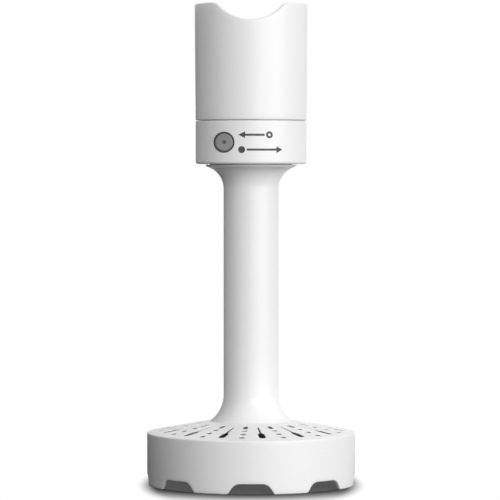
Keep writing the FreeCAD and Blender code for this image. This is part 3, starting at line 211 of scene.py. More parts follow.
class StemSizes(bpy.types.PropertyGroup):
    """Sizes of the flared stem."""

    tube_radius: length("Tube radius", "Outer radius of the tube", 13.2)
    tube_bore: length("Tube bore", "Inner radius of the tube", 10.8)
    base_radius: length("Base radius", "Radius of the disc that stands in the foot", 19.9)
    base_height: length("Base height", "Thickness of that disc", 2.4)
    lower_flare: length("Lower flare", "Radius of the flare to the foot", 15.0)
    upper_flare: length("Upper flare", "Radius of the flare to the collar", 11.0)
    flange_edge: length("Flange edge", "Thickness of the flange at its edge", 0.8)
    flange_slant: length("Flange slant", "How far the flange's edge slants in on its way down", 0.8)
    neck_radius: length("Neck radius", "Outer radius of the neck inside the collar", 19.8)
    neck_bore: length("Neck bore", "Inner radius of the neck", 14.5)
    neck_height: length("Neck height", "Height of the neck", 7.2)
    plug_seat_depth: length("Plug seat", "Depth of the plug's seat under the flange", 2.5)
    lug_count: number("Lugs", "Lugs of the twist lock", 3)
    lug_reach: length("Lug reach", "How far a lug stands out of the neck", 1.8)
    lug_rise: length("Lug rise", "Height of a lug's underside over the flange", 3.0)
    lug_height: length("Lug height", "Height of a lug", 2.4)
    lug_angle: turn("Lug angle", "Angle that a lug takes up", 26.0)


class SleeveSizes(bpy.types.PropertyGroup):
    """Sizes of the sleeve with the scalloped rim."""

    seam_edge: length("Seam edge", "Round of the lower edge at the seam", 0.55)
    rim_round: length("Rim round", "Round of the rim's edges", 0.7)
    scallop_depth: length("Scallop depth", "Depth of the dip in the rim, front and back", 8.25)
    scallop_radius: length("Scallop radius", "Radius of the dip", 21.2)
    lobe_corner: length("Lobe corner", "Round where the dip meets the level rim", 5.5)
    nose_bore: length("Nose bore", "Inner radius that takes the motor unit", 24.2)
    lead_in: length("Lead-in", "Widening of the bore at the rim", 0.4)
    lead_in_depth: length("Lead-in depth", "Height of the widening under the dip's lowest point", 4.0)
    ledge_width: length("Ledge width", "Ledge that the motor unit stands on", 0.9)
    nose_gap: length("Nose gap", "Height of the ledge over the coupling", 1.5)
    flange: length("Flange", "Thickness of the flange under the screws", 2.4)
    flange_width: length("Flange width", "Width of that flange", 5.5)
    cover: length("Cover", "Thickness of the gear cover under the flange", 2.4)


class CollarSizes(bpy.types.PropertyGroup):
    """Sizes of the inlaid disc and the printed marks on the band."""

    disc_proud: length("Disc proud", "How far the disc stands out of the band", 0.1)
    disc_depth: length("Disc depth", "How deep the disc sits in the band", 0.85)
    disc_edge: length("Disc edge", "Round of the disc's edge", 0.1)
    disc_groove: length("Disc groove", "Width of the groove inside the disc's edge", 0.75)
    disc_groove_depth: length("Groove depth", "Depth of that groove", 0.22)
    disc_dish: length("Disc dish", "How far the disc's face sinks towards its middle", 0.25)
    disc_dimple: length("Disc dimple", "Radius of the dimple in the middle", 1.15)
    disc_dimple_depth: length("Dimple depth", "Depth of the dimple", 0.2)
    mark_ink: length("Ink", "Thickness of the printed marks", 0.03)
    mark_left: length("Mark left end", "Distance of the marks' left ends from the middle, to the left", 6.1)
    mark_gap: length("Mark rows", "Distance between the two rows of marks", 7.0)
    mark_size: length("Mark size", "Height of a mark", 3.3)
    mark_bar: length("Mark bar", "Thickness of a mark's bar", 1.0)
    upper_run: length("Upper run", "Length of the upper row", 16.6)
    lower_run: length("Lower run", "Length of the lower row", 21.8)


class FinishColours(bpy.types.PropertyGroup):
    """Colours of the finishes."""

    white_plastic: colour("White plastic", "Moulded shells", slot_colour("white_plastic"))
    badge_grey: colour("Disc grey", "Inlaid disc", slot_colour("badge_grey"))
    mark_ink: colour("Mark ink", "Printed marks", (0.045, 0.045, 0.047))
    cover_plastic: colour("Cover plastic", "Gear cover and stem plug", slot_colour("cover_plastic"))
    coupling_plastic: colour("Coupling plastic", "Coupling and hub", slot_colour("coupling_plastic"))
    gear_plastic: colour("Gear plastic", "Gears and carriers", slot_colour("gear_plastic"))
    steel: colour("Steel", "Shaft, pins and screws", slot_colour("steel"))
    bronze: colour("Bronze", "Bearing bushes", slot_colour("bronze"))
    seal_rubber: colour("Seal rubber", "Seal and gasket", slot_colour("seal_rubber"))
    paddle_plastic: colour("Paddle plastic", "Paddle", slot_colour("paddle_plastic"))


class StageSizes(bpy.types.PropertyGroup):
    """Camera, lights, floor and dark cards."""

    camera_distance: length("Camera distance", "Distance of the camera from the stem's axis", 1442.0)
    camera_height: length("Camera height", "Height of the camera over the table", 152.0)
    camera_aside: length("Camera aside", "How far the camera stands to the left of the axis", 0.5)
    aim_height: length("Aim height", "Height that the camera looks at", 112.6)
    lens: FloatProperty(name="Lens", description="Focal length in millimetres", default=216.0, min=1.0,
                        subtype="DISTANCE_CAMERA", unit="CAMERA")
    key_power: watts("Key power", "Softbox at the front right", 16.0)
    key_azimuth: turn("Key azimuth", "Angle of that softbox from the front", 37.0)
    key_elevation: turn("Key elevation", "Angle of that softbox over the level", 9.0)
    key_distance: length("Key distance", "Distance of that softbox", 1400.0)
    key_width: length("Key width", "Width of that softbox", 1800.0)
    key_height: length("Key height", "Height of that softbox", 660.0)
    back_power: watts("Back power", "Softbox behind the object", 9.0)
    back_elevation: turn("Back elevation", "Angle of that softbox over the level", 3.0)
    back_distance: length("Back distance", "Distance of that softbox", 1300.0)
    back_side: length("Back side", "Side of that softbox", 600.0)
    fill_level: factor("Fill level", "Grey light from all round", 0.66)
    floor_half: length("Floor half", "Half the side of the floor", 6000.0)
    # The matt floor's grey is both the light the floor gathers and the colour of the painted shadow and
    # painted shade that the camera sees round and under the foot.
    painted_shadow_and_gathered_grey: factor("Floor shade", "Grey of the floor where light is gathered", 0.1)
    floor_lift: factor("Floor lift", "Share of plain white in the floor under the object", 0.08)
    # The contact shadow is painted: a dark grey matt part of the floor in an ellipse round the foot, on which
    # the lamps' real shadow also falls.
    painted_shadow_inset: length("Shadow inset", "How far inside the foot's edge the contact shadow starts", 2.0)
    painted_shadow_soft: length("Shadow soft", "Width of the change to the floor under the foot", 1.0)
    painted_shadow_end: length("Shadow end", "Radius where the contact shadow ends", 93.0)
    painted_shadow_side: length("Shadow side", "Reach to the side where the contact shadow starts to fade", 45.5)
    painted_shadow_side_end: length("Shadow side end", "Reach to the side where the contact shadow ends", 55.6)
    painted_shadow_stretch: factor("Shadow stretch", "Breadth of the contact shadow over its depth", 0.446)
    patch_aside: length("Patch aside", "How far the middle of the dull patch lies to the left", 150.0)
    patch_behind: length("Patch behind", "How far the middle of the dull patch lies to the back", 150.0)
    patch_core: length("Patch core", "Radius where the dull patch starts to fade", 200.0)
    patch_end: length("Patch end", "Radius where the dull patch ends", 300.0)
    card_shade: factor("Card shade", "Grey of the dark cards", 0.025)
    flag_aside: length("Flag aside", "How far the dark cards stand to the left", 130.0)
    flag_front: length("Flag front", "How far the low card reaches ahead of the axis", 100.0)
    flag_back: length("Flag back", "How far the low card reaches behind the axis", 200.0)
    flag_height: length("Flag height", "Height of the low card", 65.0)
    mirror_front: length("Mirror front", "How far the tall card reaches ahead of the axis", 54.0)
    mirror_back: length("Mirror back", "How far the tall card reaches behind the axis", 600.0)
    mirror_height: length("Mirror height", "Height of the tall card", 240.0)


def linked(name, data):
    """A new object in the scene."""
    item = bpy.data.objects.new(name, data)
    bpy.context.scene.collection.objects.link(item)
    return item


def ring_quads(rows, columns, first, close_rows):
    """Corner numbers of a grid's quads: the columns close into a ring, and the rows too if asked."""
    row_count = rows if close_rows else rows - 1
    row, column = np.meshgrid(np.arange(row_count), np.arange(columns), indexing="ij")
    below = (row + 1) % rows
    beside = (column + 1) % columns
    corners = [level * columns + place for level, place in
               ((row, column), (row, beside), (below, beside), (below, column))]
    return first + np.stack(corners, axis=-1).reshape(-1, 4)


class Skin:
    """Grids of points that are gathered into the mesh of one piece."""

    def __init__(self):
        self.points = []
        self.quads = []
        self.total = 0

    def add(self, grid, close_rows=False):
        """Add a grid, an array of rows by columns by three, whose columns close into a ring."""
        rows, columns = grid.shape[:2]
        self.points.append(grid.reshape(-1, 3))
        self.quads.append(ring_quads(rows, columns, self.total, close_rows))
        self.total += rows * columns

    def make(self, name, body, finish, slot, *nodes):
        """Merge the grids into one closed mesh, smooth it and fix it to its body."""
        mesh = bpy.data.meshes.new(name)
        mesh.from_pydata(np.concatenate(self.points), [], np.concatenate(self.quads))
        shell = bmesh.new()
        shell.from_mesh(mesh)
        bmesh.ops.remove_doubles(shell, verts=shell.verts, dist=MERGE_DISTANCE)
        bmesh.ops.dissolve_degenerate(shell, edges=shell.edges, dist=MERGE_DISTANCE)
        bmesh.ops.recalc_face_normals(shell, faces=shell.faces)
        shell.to_mesh(mesh)
        shell.free()
        mesh.polygons.foreach_set("use_smooth", np.ones(len(mesh.polygons), dtype=bool))
        mesh.set_sharp_from_angle(angle=SHARP_ANGLE)
        mesh.materials.append(finish)
        piece = linked(name, mesh)
        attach(piece, body)
        if nodes:
            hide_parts(*nodes)


def full_turn(steps, start=0.0):
    """Angles that go once round in equal steps."""
    return start + np.arange(steps) * 2 * math.pi / steps


def axis_points(radius, angle, level):
    """Points from their radius and angle round the axis, x and y by cosine and sine, and their level."""
    return np.stack(np.broadcast_arrays(radius * np.cos(angle), radius * np.sin(angle), level), axis=-1)


def turned_grid(stations, around):
    """Surface of revolution: each station, a radius and a level, goes round the axis by the angles."""
    return axis_points(stations[:, 0, None], around, stations[:, 1, None])


def rounded(radius, steps):
    """Steps over a rounded edge: each one's distance in from the wall and its distance from the end.

    They are the radius times one less the cosine and one less the sine of an angle that turns by a quarter.
    """
    bend = np.linspace(0, math.pi / 2, steps)
    return radius * (1 - np.cos(bend)), radius * (1 - np.sin(bend))


def arc_stations(radius, level, size, start, end):
    """Stations on an arc: its centre's radius and level plus its size times the angle's cosine and sine."""
    angle = np.linspace(start, end, ARC_STEPS)
    return np.stack([radius + size * np.cos(angle), level + size * np.sin(angle)], axis=-1)


class PlateForm:
    """Shape of the foot's plate, a shallow cone that runs into the rim's rounded edge."""

    def __init__(self, size):
        self.radius = node_radius("masher_foot")
        self.slope = math.tan(size.plate_angle)
        self.drop = size.plate_thickness / math.cos(size.plate_angle)
        self.edge_start = size.rim_height - size.edge_radius
        self.edge_end = self.radius - size.edge_radius * (1 - math.sin(size.plate_angle))
        self.edge_level = self.edge_start + size.edge_radius * math.cos(size.plate_angle)

    def top(self, radius):
        """Level of the plate's upper face: it falls by the slope for each step outwards."""
        return self.edge_level + self.slope * (self.edge_end - radius)

    def under(self, radius):
        """Level of the plate's lower face, one thickness down."""
        return self.top(radius) - self.drop


def cell_border(sides, half_angle):
    """Border of one cell of the plate from above: out along a side, across, in along the other, across."""
    across = np.linspace(half_angle, -half_angle, END_STEPS, endpoint=False)
    steps = len(sides) - 1
    radius = np.concatenate([sides[:-1], np.full(END_STEPS, sides[-1]),
                             sides[:0:-1], np.full(END_STEPS, sides[0])])
    angle = np.concatenate([np.full(steps, half_angle), across, np.full(steps, -half_angle), -across])
    return np.stack([radius * np.cos(angle), radius * np.sin(angle)], axis=-1)


def slot_outline(border, start, end, half_width):
    """Slot with round ends: a border point goes straight to the middle line and stops half a width short."""
    spine = np.stack([np.clip(border[:, 0], start, end), np.zeros(len(border))], axis=-1)
    reach = border - spine
    return spine + half_width * reach / np.linalg.norm(reach, axis=1, keepdims=True)


def spoke_outline(sides, size):
    """Long slot: its sides widen from the tip over the neck to the shoulder; its outer end is round."""
    half = size.slot_width / 2
    centre = size.slot_end - half
    along = np.interp(sides, [sides[0], sides[-1]], [size.slot_tip, centre])
    width = np.interp(along, [size.slot_tip, size.slot_neck, size.slot_shoulder, centre],
                      [size.slot_tip_width / 2, size.slot_neck_width / 2, half, half])
    turned = np.linspace(math.pi / 2, -math.pi / 2, END_STEPS, endpoint=False)
    tip = np.linspace(-width[0], width[0], END_STEPS, endpoint=False)
    x = np.concatenate([along[:-1], centre + half * np.cos(turned), along[:0:-1],
                        np.full(END_STEPS, size.slot_tip)])
    y = np.concatenate([width[:-1], half * np.sin(turned), -width[:0:-1], tip])
    return np.stack([x, y], axis=-1)


def cell_grid(border, outline, plate, size):
    """One cell of the plate: rings from its border in to the hole, over its thin lip, and out below.

    A ring's points are the outline pushed out by an offset, plus a share of the way from there to the border.
    Their level is the plate's upper face less the ring's depth. From the lip down the hole widens evenly by
    its relief, which leaves at least a quarter of the way to the border.
    """
    along = np.roll(outline, -1, axis=0) - np.roll(outline, 1, axis=0)
    along /= np.linalg.norm(along, axis=1, keepdims=True)
    outwards = np.stack([-along[:, 1], along[:, 0]], axis=-1)
    room = RELIEF_SHARE * np.linalg.norm(border - outline, axis=1)
    relief = np.minimum(size.hole_relief, room)
    sink, short = [part[1:] for part in rounded(size.hole_edge, HOLE_EDGE_STEPS)]
    flat_rings = len(CELL_RINGS)
    eased = np.concatenate([np.full(flat_rings, size.hole_edge), short, [0.0]])
    offset = np.concatenate([np.tile(eased[:, None], len(outline)), [relief, relief]])
    depth = np.concatenate([np.zeros(flat_rings), sink, [size.hole_lip, plate.drop, plate.drop]])
    spread = np.concatenate([CELL_RINGS, np.zeros(len(sink) + 2), [1.0]])
    base = outline + offset[..., None] * outwards
    flat = base + spread[:, None, None] * (border - base)
    height = plate.top(np.hypot(flat[..., 0], flat[..., 1])) - depth[:, None]
    return np.concatenate([flat, height[..., None]], axis=-1)


def turned_copy(grid, angle):
    """The same grid turned about the axis."""
    across = grid[..., 0] * math.cos(angle) - grid[..., 1] * math.sin(angle)
    along = grid[..., 0] * math.sin(angle) + grid[..., 1] * math.cos(angle)
    return np.stack([across, along, grid[..., 2]], axis=-1)


def notch_columns(around, size, radius):
    """Height of the skirt's lower edge at each column, and the angle where the column meets that edge.

    The notch has a level roof, a round corner, a straight leaning side and then the flat end of the tooth.
    Columns are spread so that each of these gets its share between the knots, on any radius.
    """
    pitch = 2 * math.pi / size.notch_count
    local = (around - FRONT + pitch / 2) % pitch - pitch / 2
    fold = np.abs(local) / (pitch / 2)
    half = size.notch_width / 2
    lean = math.atan2(size.notch_height, half - size.notch_top / 2)
    tangent = size.notch_corner * math.tan(lean / 2)
    roof_end = size.notch_top / 2 - tangent
    corner_end = size.notch_top / 2 + tangent * math.cos(lean)
    place = np.interp(fold, NOTCH_KNOTS, [0.0, roof_end, corner_end, half])
    along = np.clip(place - roof_end, 0, corner_end - roof_end)
    round_drop = size.notch_corner - np.sqrt(size.notch_corner ** 2 - along ** 2)
    straight = (half - place) * math.tan(lean)
    height = np.where(place < corner_end, size.notch_height - round_drop, straight)
    tooth_start = NOTCH_KNOTS[-1]
    height = np.where(fold >= tooth_start, 0.0, height)
    on_edge = np.arcsin(place / radius[:, None])
    tooth = np.clip((fold - tooth_start) / (1 - tooth_start), 0, 1)
    spread = on_edge + tooth * (pitch / 2 - on_edge)
    return height, around - local + np.sign(local) * spread


def skirt_grid(around, size, plate):
    """The foot's skirt: from the plate over the rim, down the wall, under the notched edge and up inside.

    Each row has a radius, a share of the notch columns' angles, a share of the notched edge's level, a lift
    over that edge and the level that the rest comes from.
    """
    edge = size.moulded_edge
    inner = plate.radius - size.rim_wall
    inset, lift_off = rounded(edge, EDGE_STEPS)
    plain = np.linspace(size.field_outer, plate.edge_end, PLATE_STEPS)
    over = np.linspace(math.pi / 2 - size.plate_angle, 0, ROUND_OVER_STEPS)[1:]
    down = np.linspace(0, 1, WALL_STEPS)[1:]
    up = np.linspace(1, 0, INNER_WALL_STEPS)
    below = np.linspace(inner, size.field_outer, PLATE_STEPS)[1:]

    def rows(radius, warp, share, lift, level):
        """Rows of the table, as many as the longest list has."""
        return np.column_stack(np.broadcast_arrays(radius, warp, share, lift, level))

    table = np.concatenate([
        rows(plain, 0, 0, 0, plate.top(plain)),
        rows(plate.radius - size.edge_radius * (1 - np.cos(over)), 0, 0, 0,
             plate.edge_start + size.edge_radius * np.sin(over)),
        rows(plate.radius, down, down, edge, plate.edge_start),
        rows(plate.radius - inset[1:], 1, 1, lift_off[1:], 0),
        rows(inner + inset[:0:-1], 1, 1, lift_off[:0:-1], 0),
        rows(inner, up, up, edge, plate.under(inner)),
        rows(below, 0, 0, 0, plate.under(below)),
    ])
    radius, warp, share, lift, level = table.T
    height, fitted = notch_columns(around, size, radius)
    angle = around + warp[:, None] * (fitted - around)
    rise = share[:, None] * (height + lift[:, None]) + ((1 - share) * level)[:, None]
    return axis_points(radius[:, None], angle, rise)


def foot_skin(size):
    """The foot: skirt, one cell for each hole of the plate, and the land and boss under the stem."""
    plate = PlateForm(size)
    skin = Skin()
    half_angle = math.pi / (2 * size.spoke_count)
    first = FRONT + size.spoke_turn
    around = full_turn(2 * size.spoke_count * END_STEPS, first - half_angle)
    skin.add(skirt_grid(around, size, plate))

    rings = (size.hole_inner, size.hole_middle, size.hole_outer)
    between = [size.field_inner, (size.short_end + rings[0] - size.hole_radius) / 2,
               (rings[0] + rings[1]) / 2, (rings[1] + rings[2]) / 2, size.field_outer]
    short_half = size.short_width / 2
    holes = [(size.short_start + short_half, size.short_end - short_half, short_half)]
    holes += [(place, place, size.hole_radius) for place in rings]
    runs = [np.linspace(low, high, CELL_SIDE_STEPS + 1) for low, high in zip(between[:-1], between[1:])]
    hole_cells = []
    for run, (start, end, half_width) in zip(runs, holes):
        border = cell_border(run, half_angle)
        hole_cells.append(cell_grid(border, slot_outline(border, start, end, half_width), plate, size))
    sides = np.concatenate([run[:-1] for run in runs] + [runs[-1][-1:]])
    spoke = cell_grid(cell_border(sides, half_angle), spoke_outline(sides, size), plate, size)
    for index in range(size.spoke_count):
        axis = first + 4 * half_angle * index
        skin.add(turned_copy(spoke, axis))
        for cell in hole_cells:
            skin.add(turned_copy(cell, axis + 2 * half_angle))

    land_top = node_low("masher_stem")
    land_bottom = node_low("shaft_seal")
    seal_top = node_high("shaft_seal")
    seal_radius = node_radius("shaft_seal")
    boss_top = node_high("masher_foot")
    pilot_top = land_top + size.pilot_height
    stations = np.array([
        (size.field_inner, plate.top(size.field_inner)),
        (size.seat_radius, plate.top(size.seat_radius)),
        (size.seat_radius, land_top),
        (size.pilot_radius, land_top),
        (size.pilot_radius, pilot_top),
        (size.boss_radius, pilot_top),
        (size.boss_radius, boss_top),
        (size.boss_bore, boss_top),
        (size.boss_bore, seal_top),
        (seal_radius, seal_top),
        (seal_radius, land_bottom),
        (size.step_radius, land_bottom),
        (size.step_radius, plate.under(size.step_radius)),
        (size.field_inner, plate.under(size.field_inner)),
    ])
    skin.add(turned_grid(stations, around))
    return skin


def lug_grid(inner, outer, low, high, middle, half_angle):
    """One lug: a rectangle of radius and level carried along an arc and drawn to a point at each end."""
    turn_steps = np.linspace(-half_angle, half_angle, LUG_STEPS)
    angle = middle + np.concatenate([turn_steps[:1], turn_steps, turn_steps[-1:]])
    full = np.concatenate([[0.0], np.ones(len(turn_steps)), [0.0]])[:, None]
    radius = (inner + outer) / 2 + full * (outer - inner) / 2 * np.array([-1, 1, 1, -1])
    level = (low + high) / 2 + full * (high - low) / 2 * np.array([-1, -1, 1, 1])
    return axis_points(radius, angle[:, None], level)


def stem_skin(size):
    """The stem: a profile of straight runs and two quarter flares turned about the axis, and three lugs."""
    bottom = node_low("masher_stem")
    top = node_high("masher_stem")
    flange = node_radius("masher_stem")
    flange_top = top - size.neck_height
    base_top = bottom + size.base_height
    lower_centre = size.tube_radius + size.lower_flare
    lower_angle = math.acos((lower_centre - size.base_radius) / size.lower_flare)
    lower_top = base_top + size.lower_flare * math.sin(lower_angle)
    upper_centre = size.tube_radius + size.upper_flare
    upper_angle = math.acos((upper_centre - flange) / size.upper_flare)
    upper_start = flange_top - size.flange_edge - size.upper_flare * math.sin(upper_angle)
    slant_angle = math.acos((upper_centre - flange + size.flange_slant) / size.upper_flare)
    plug_seat = flange_top - size.plug_seat_depth
    straight = np.linspace(lower_top, upper_start, TUBE_STEPS)[1:-1]
    stations = np.concatenate([
        [(size.tube_bore, bottom), (size.base_radius, bottom)],
        arc_stations(lower_centre, lower_top, size.lower_flare, math.pi + lower_angle, math.pi),
        np.column_stack([np.full(len(straight), size.tube_radius), straight]),
        arc_stations(upper_centre, upper_start, size.upper_flare, math.pi, math.pi - slant_angle),
        [(flange, flange_top), (size.neck_radius, flange_top), (size.neck_radius, top), (size.neck_bore, top),
         (size.neck_bore, plug_seat), (size.tube_bore, plug_seat)],
    ])
    skin = Skin()
    skin.add(turned_grid(stations, full_turn(TURNED_COLUMNS)), close_rows=True)
    low = flange_top + size.lug_rise
    for index in range(size.lug_count):
        middle = 2 * math.pi * index / size.lug_count
        skin.add(lug_grid(size.neck_radius - size.lug_reach / 2, size.neck_radius + size.lug_reach,
                          low, low + size.lug_height, middle, size.lug_angle / 2))
    return skin


def rim_level(aside, size, top):
    """Level of the scalloped rim over a sideways distance: a round dip, a round shoulder, then level."""
    centre = top - size.scallop_depth + size.scallop_radius
    drop = centre - top + size.lobe_corner
    span = size.scallop_radius + size.lobe_corner
    lobe = math.sqrt(span ** 2 - drop ** 2)
    meet = lobe * size.scallop_radius / span
    aside = np.abs(aside)
    dip = centre - np.sqrt(size.scallop_radius ** 2 - np.minimum(aside, meet) ** 2)
    short = lobe - np.clip(aside, meet, lobe)
    shoulder = top - size.lobe_corner + np.sqrt(size.lobe_corner ** 2 - short ** 2)
    return np.where(aside < meet, dip, shoulder)


def sleeve_skin(size):
    """The sleeve: a closed profile carried round the axis, whose upper rows follow the scalloped rim.

    A row has a radius, a fixed level, a share of the rim's level and a drop under it: its level is the fixed
    one plus the share of the way up to the rim less the drop. The outer wall widens evenly with its level.
    """
    bottom = node_low("collar_sleeve")
    top = node_high("collar_sleeve")
    foot_radius = node_radius("gearbox_base")
    rim_radius = node_radius("collar_sleeve")
    cover_top = node_high("cover_gasket") + size.cover
    flange_top = cover_top + size.flange
    ledge = node_high("input_coupling") + size.nose_gap
    bore = size.nose_bore
    well = bore - size.ledge_width
    flange = well - size.flange_width
    mouth = bore + size.lead_in
    mouth_low = top - size.scallop_depth - size.lead_in_depth
    seam_inset, seam_lift = [part[::-1] for part in rounded(size.seam_edge, RIM_STEPS)]
    edge = size.rim_round
    inset, drop_off = rounded(edge, RIM_STEPS)
    rise = np.linspace(0, 1, SLEEVE_STEPS)

    def rows(radius, level, share=0, drop=0):
        """Rows of the table, as many as the longest list has."""
        return np.column_stack(np.broadcast_arrays(radius, level, share, drop))

    table = np.concatenate([
        rows(foot_radius - seam_inset, bottom + seam_lift),
        rows(foot_radius + rise[1:] * (rim_radius - foot_radius), bottom + size.seam_edge, rise[1:], edge),
        rows(rim_radius - inset[1:], bottom, 1, drop_off[1:]),
        rows(mouth + inset[::-1], bottom, 1, drop_off[::-1]),
        rows(mouth, mouth_low + size.lead_in, rise[-2::-MOUTH_STRIDE], edge),
        rows([mouth, bore, bore, well, well, flange, flange, bore, bore],
             [mouth_low + size.lead_in, mouth_low, ledge, ledge, flange_top, flange_top, cover_top, cover_top,
              bottom]),
    ])
    radius, level, share, drop = table.T[:, :, None]
    around = full_turn(SLEEVE_COLUMNS)
    rim = rim_level(rim_radius * np.cos(around), size, top)
    height = level + share * (rim - drop - level)
    skin = Skin()
    skin.add(axis_points(radius, around, height), close_rows=True)
    return skin


def disc_skin(size):
    """The inlaid disc: rings about its centre, bent to the band's curve.

    Its face sinks towards the middle with the square of the way in, and has a groove and a dimple.
    """
    low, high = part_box("badge_disc")
    radius = (high.z - low.z) / 2
    centre_x = (low.x + high.x) / 2
    centre_z = (low.z + high.z) / 2
    band = node_radius("gearbox_base")
    inset, drop_off = rounded(size.disc_edge, EDGE_STEPS)
    groove = np.linspace(0, 1, GROOVE_STEPS)
    groove_outer = radius - GROOVE_INSET * size.disc_edge
    groove_inner = groove_outer - size.disc_groove
    field = np.linspace(groove_inner, size.disc_dimple, FIELD_STEPS)[1:-1]
    dimple = np.linspace(1, 0, DIMPLE_STEPS)
    face = np.concatenate([
        radius - inset,
        groove_outer - groove * size.disc_groove,
        field,
        dimple * size.disc_dimple,
    ])
    cut = np.concatenate([
        drop_off,
        size.disc_groove_depth * np.sin(math.pi * groove) ** 2,
        np.zeros(len(field)),
        size.disc_dimple_depth * np.cos(math.pi / 2 * dimple) ** 2,
    ])
    dish = size.disc_dish * np.clip(1 - (face / groove_inner) ** 2, 0, 1)
    reach = np.concatenate([[0.0, radius], face])
    lift = np.concatenate([[-size.disc_depth, -size.disc_depth], size.disc_proud - cut - dish])
    around = full_turn(DISC_COLUMNS)
    x = centre_x + reach[:, None] * np.cos(around)
    z = centre_z + reach[:, None] * np.sin(around)
    y = -np.sqrt((band + lift[:, None]) ** 2 - x ** 2)
    skin = Skin()
    skin.add(np.stack([x, y, z], axis=-1))
    return skin


def on_band(across, level, lift, band):
    """Points on the band's curve: a distance across is an angle times the band's radius."""
    angle = across / band
    out = band + lift
    return np.stack([out * np.sin(angle), -out * np.cos(angle), level], axis=-1)


def printed_shape(outline, centre, ink, band):
    """A filled mark: its outline at the ink's foot and face, each closed to the mark's centre."""
    ring = np.stack([np.broadcast_to(centre, outline.shape), outline, outline,
                     np.broadcast_to(centre, outline.shape)])
    lift = np.array([-ink, -ink, ink, ink])[:, None]
    return on_band(ring[..., 0], ring[..., 1], lift, band)


def printed_bar(start, end, level, half, ink, band):
    """A straight mark: a flat rectangle carried round the band and drawn to a point at each end."""
    along = np.linspace(start, end, BAR_STEPS)
    along = np.concatenate([along[:1], along, along[-1:]])[:, None]
    full = np.ones((len(along), 1))
    full[[0, -1]] = 0.0
    height = level + full * half * np.array([-1, 1, 1, -1])
    lift = full * ink * np.array([-1, -1, 1, 1])
    return on_band(np.broadcast_to(along, height.shape), height, lift, band)


def printed_ring(centre, outer, inner, ink, band):
    """An open round mark: a flat ring whose section is a rectangle."""
    around = full_turn(MARK_COLUMNS)
    radius = np.array([inner, outer, outer, inner])[:, None]
    lift = np.array([-ink, -ink, ink, ink])[:, None]
    return on_band(centre[0] + radius * np.cos(around), centre[1] + radius * np.sin(around), lift, band)


def round_polygon(corners, radius):
    """Outline of a polygon whose corners are rounded: an arc about each corner's inset point."""
    corners = np.array(corners, float)
    back = np.roll(corners, 1, axis=0) - corners
    ahead = np.roll(corners, -1, axis=0) - corners
    back /= np.linalg.norm(back, axis=1, keepdims=True)
    ahead /= np.linalg.norm(ahead, axis=1, keepdims=True)
    middle = back + ahead
    middle /= np.linalg.norm(middle, axis=1, keepdims=True)
    half = np.arccos(np.clip((back * middle).sum(axis=1), -1, 1))
    inset = corners + middle * (radius / np.sin(half))[:, None]
    leg = (radius / np.tan(half))[:, None]
    first = corners + back * leg - inset
    last = corners + ahead * leg - inset
    share = np.linspace(0, 1, CORNER_STEPS)[None, :, None]
    swing = first[:, None] * (1 - share) + last[:, None] * share
    swing *= radius / np.linalg.norm(swing, axis=2, keepdims=True)
    return (inset[:, None] + swing).reshape(-1, 2)


def marks_skin(size):
    """The twist-lock marks: an arrow with an open ring above, and an arrow with a filled dot below."""
    band = node_radius("gearbox_base")
    low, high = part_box("badge_disc")
    middle = (low.z + high.z) / 2
    skin = Skin()
    half = size.mark_size / 2
    bar = size.mark_bar / 2
    upper = (middle + size.mark_gap / 2, size.upper_run, True)
    lower = (middle - size.mark_gap / 2, size.lower_run, False)
    for level, run, opens in (upper, lower):
        left = -size.mark_left
        right = left + run
        tip, tail = (left, right) if opens else (right, left)
        inward = 1 if opens else -1
        head_foot = tip + inward * size.mark_size
        head = round_polygon([(tip, level), (head_foot, level + half), (head_foot, level - half)], bar / 3)
        skin.add(printed_shape(head, head.mean(axis=0), size.mark_ink, band))
        ring_centre = (tail - inward * half, level)
        bar_end = ring_centre[0] - inward * half * BAR_CLEARANCE
        ends = sorted((head_foot - inward * bar / 2, bar_end))
        skin.add(printed_bar(ends[0], ends[1], level, bar, size.mark_ink, band))
        if opens:
            ring = printed_ring(ring_centre, half, half - size.mark_bar, size.mark_ink, band)
            skin.add(ring, close_rows=True)
        else:
            around = full_turn(MARK_COLUMNS)
            dot = np.array(ring_centre) + half * np.stack([np.cos(around), np.sin(around)], axis=-1)
            skin.add(printed_shape(dot, np.array(ring_centre), size.mark_ink, band))
    return skin


class Value:
    """An output socket: arithmetic on it adds Math nodes to its tree."""

    def __init__(self, nodes, socket):
        self.nodes = nodes
        self.socket = socket

    def maths(self, operation, *terms):
        """Add one Math node on these terms."""
        return self.nodes.add("ShaderNodeMath", {"operation": operation}, dict(enumerate(terms)))

    def __add__(self, other):
        return self.maths("ADD", self, other)

    def __radd__(self, other):
        return self.maths("ADD", other, self)

    def __sub__(self, other):
        return self.maths("SUBTRACT", self, other)

    def __rsub__(self, other):
        return self.maths("SUBTRACT", other, self)

    def __mul__(self, other):
        return self.maths("MULTIPLY", self, other)

    def __rmul__(self, other):
        return self.maths("MULTIPLY", other, self)

    def larger(self, other):
        """The larger of two values."""
        return self.maths("MAXIMUM", self, other)

    def sine(self):
        """Sine of the value."""
        return self.maths("SINE", self)

    def ramp(self, low, high):
        """Smooth rise from nought at low to one at high."""
        return self.nodes.add("ShaderNodeMapRange", {"interpolation_type": "SMOOTHSTEP"},
                              {"Value": self, "From Min": low, "From Max": high})


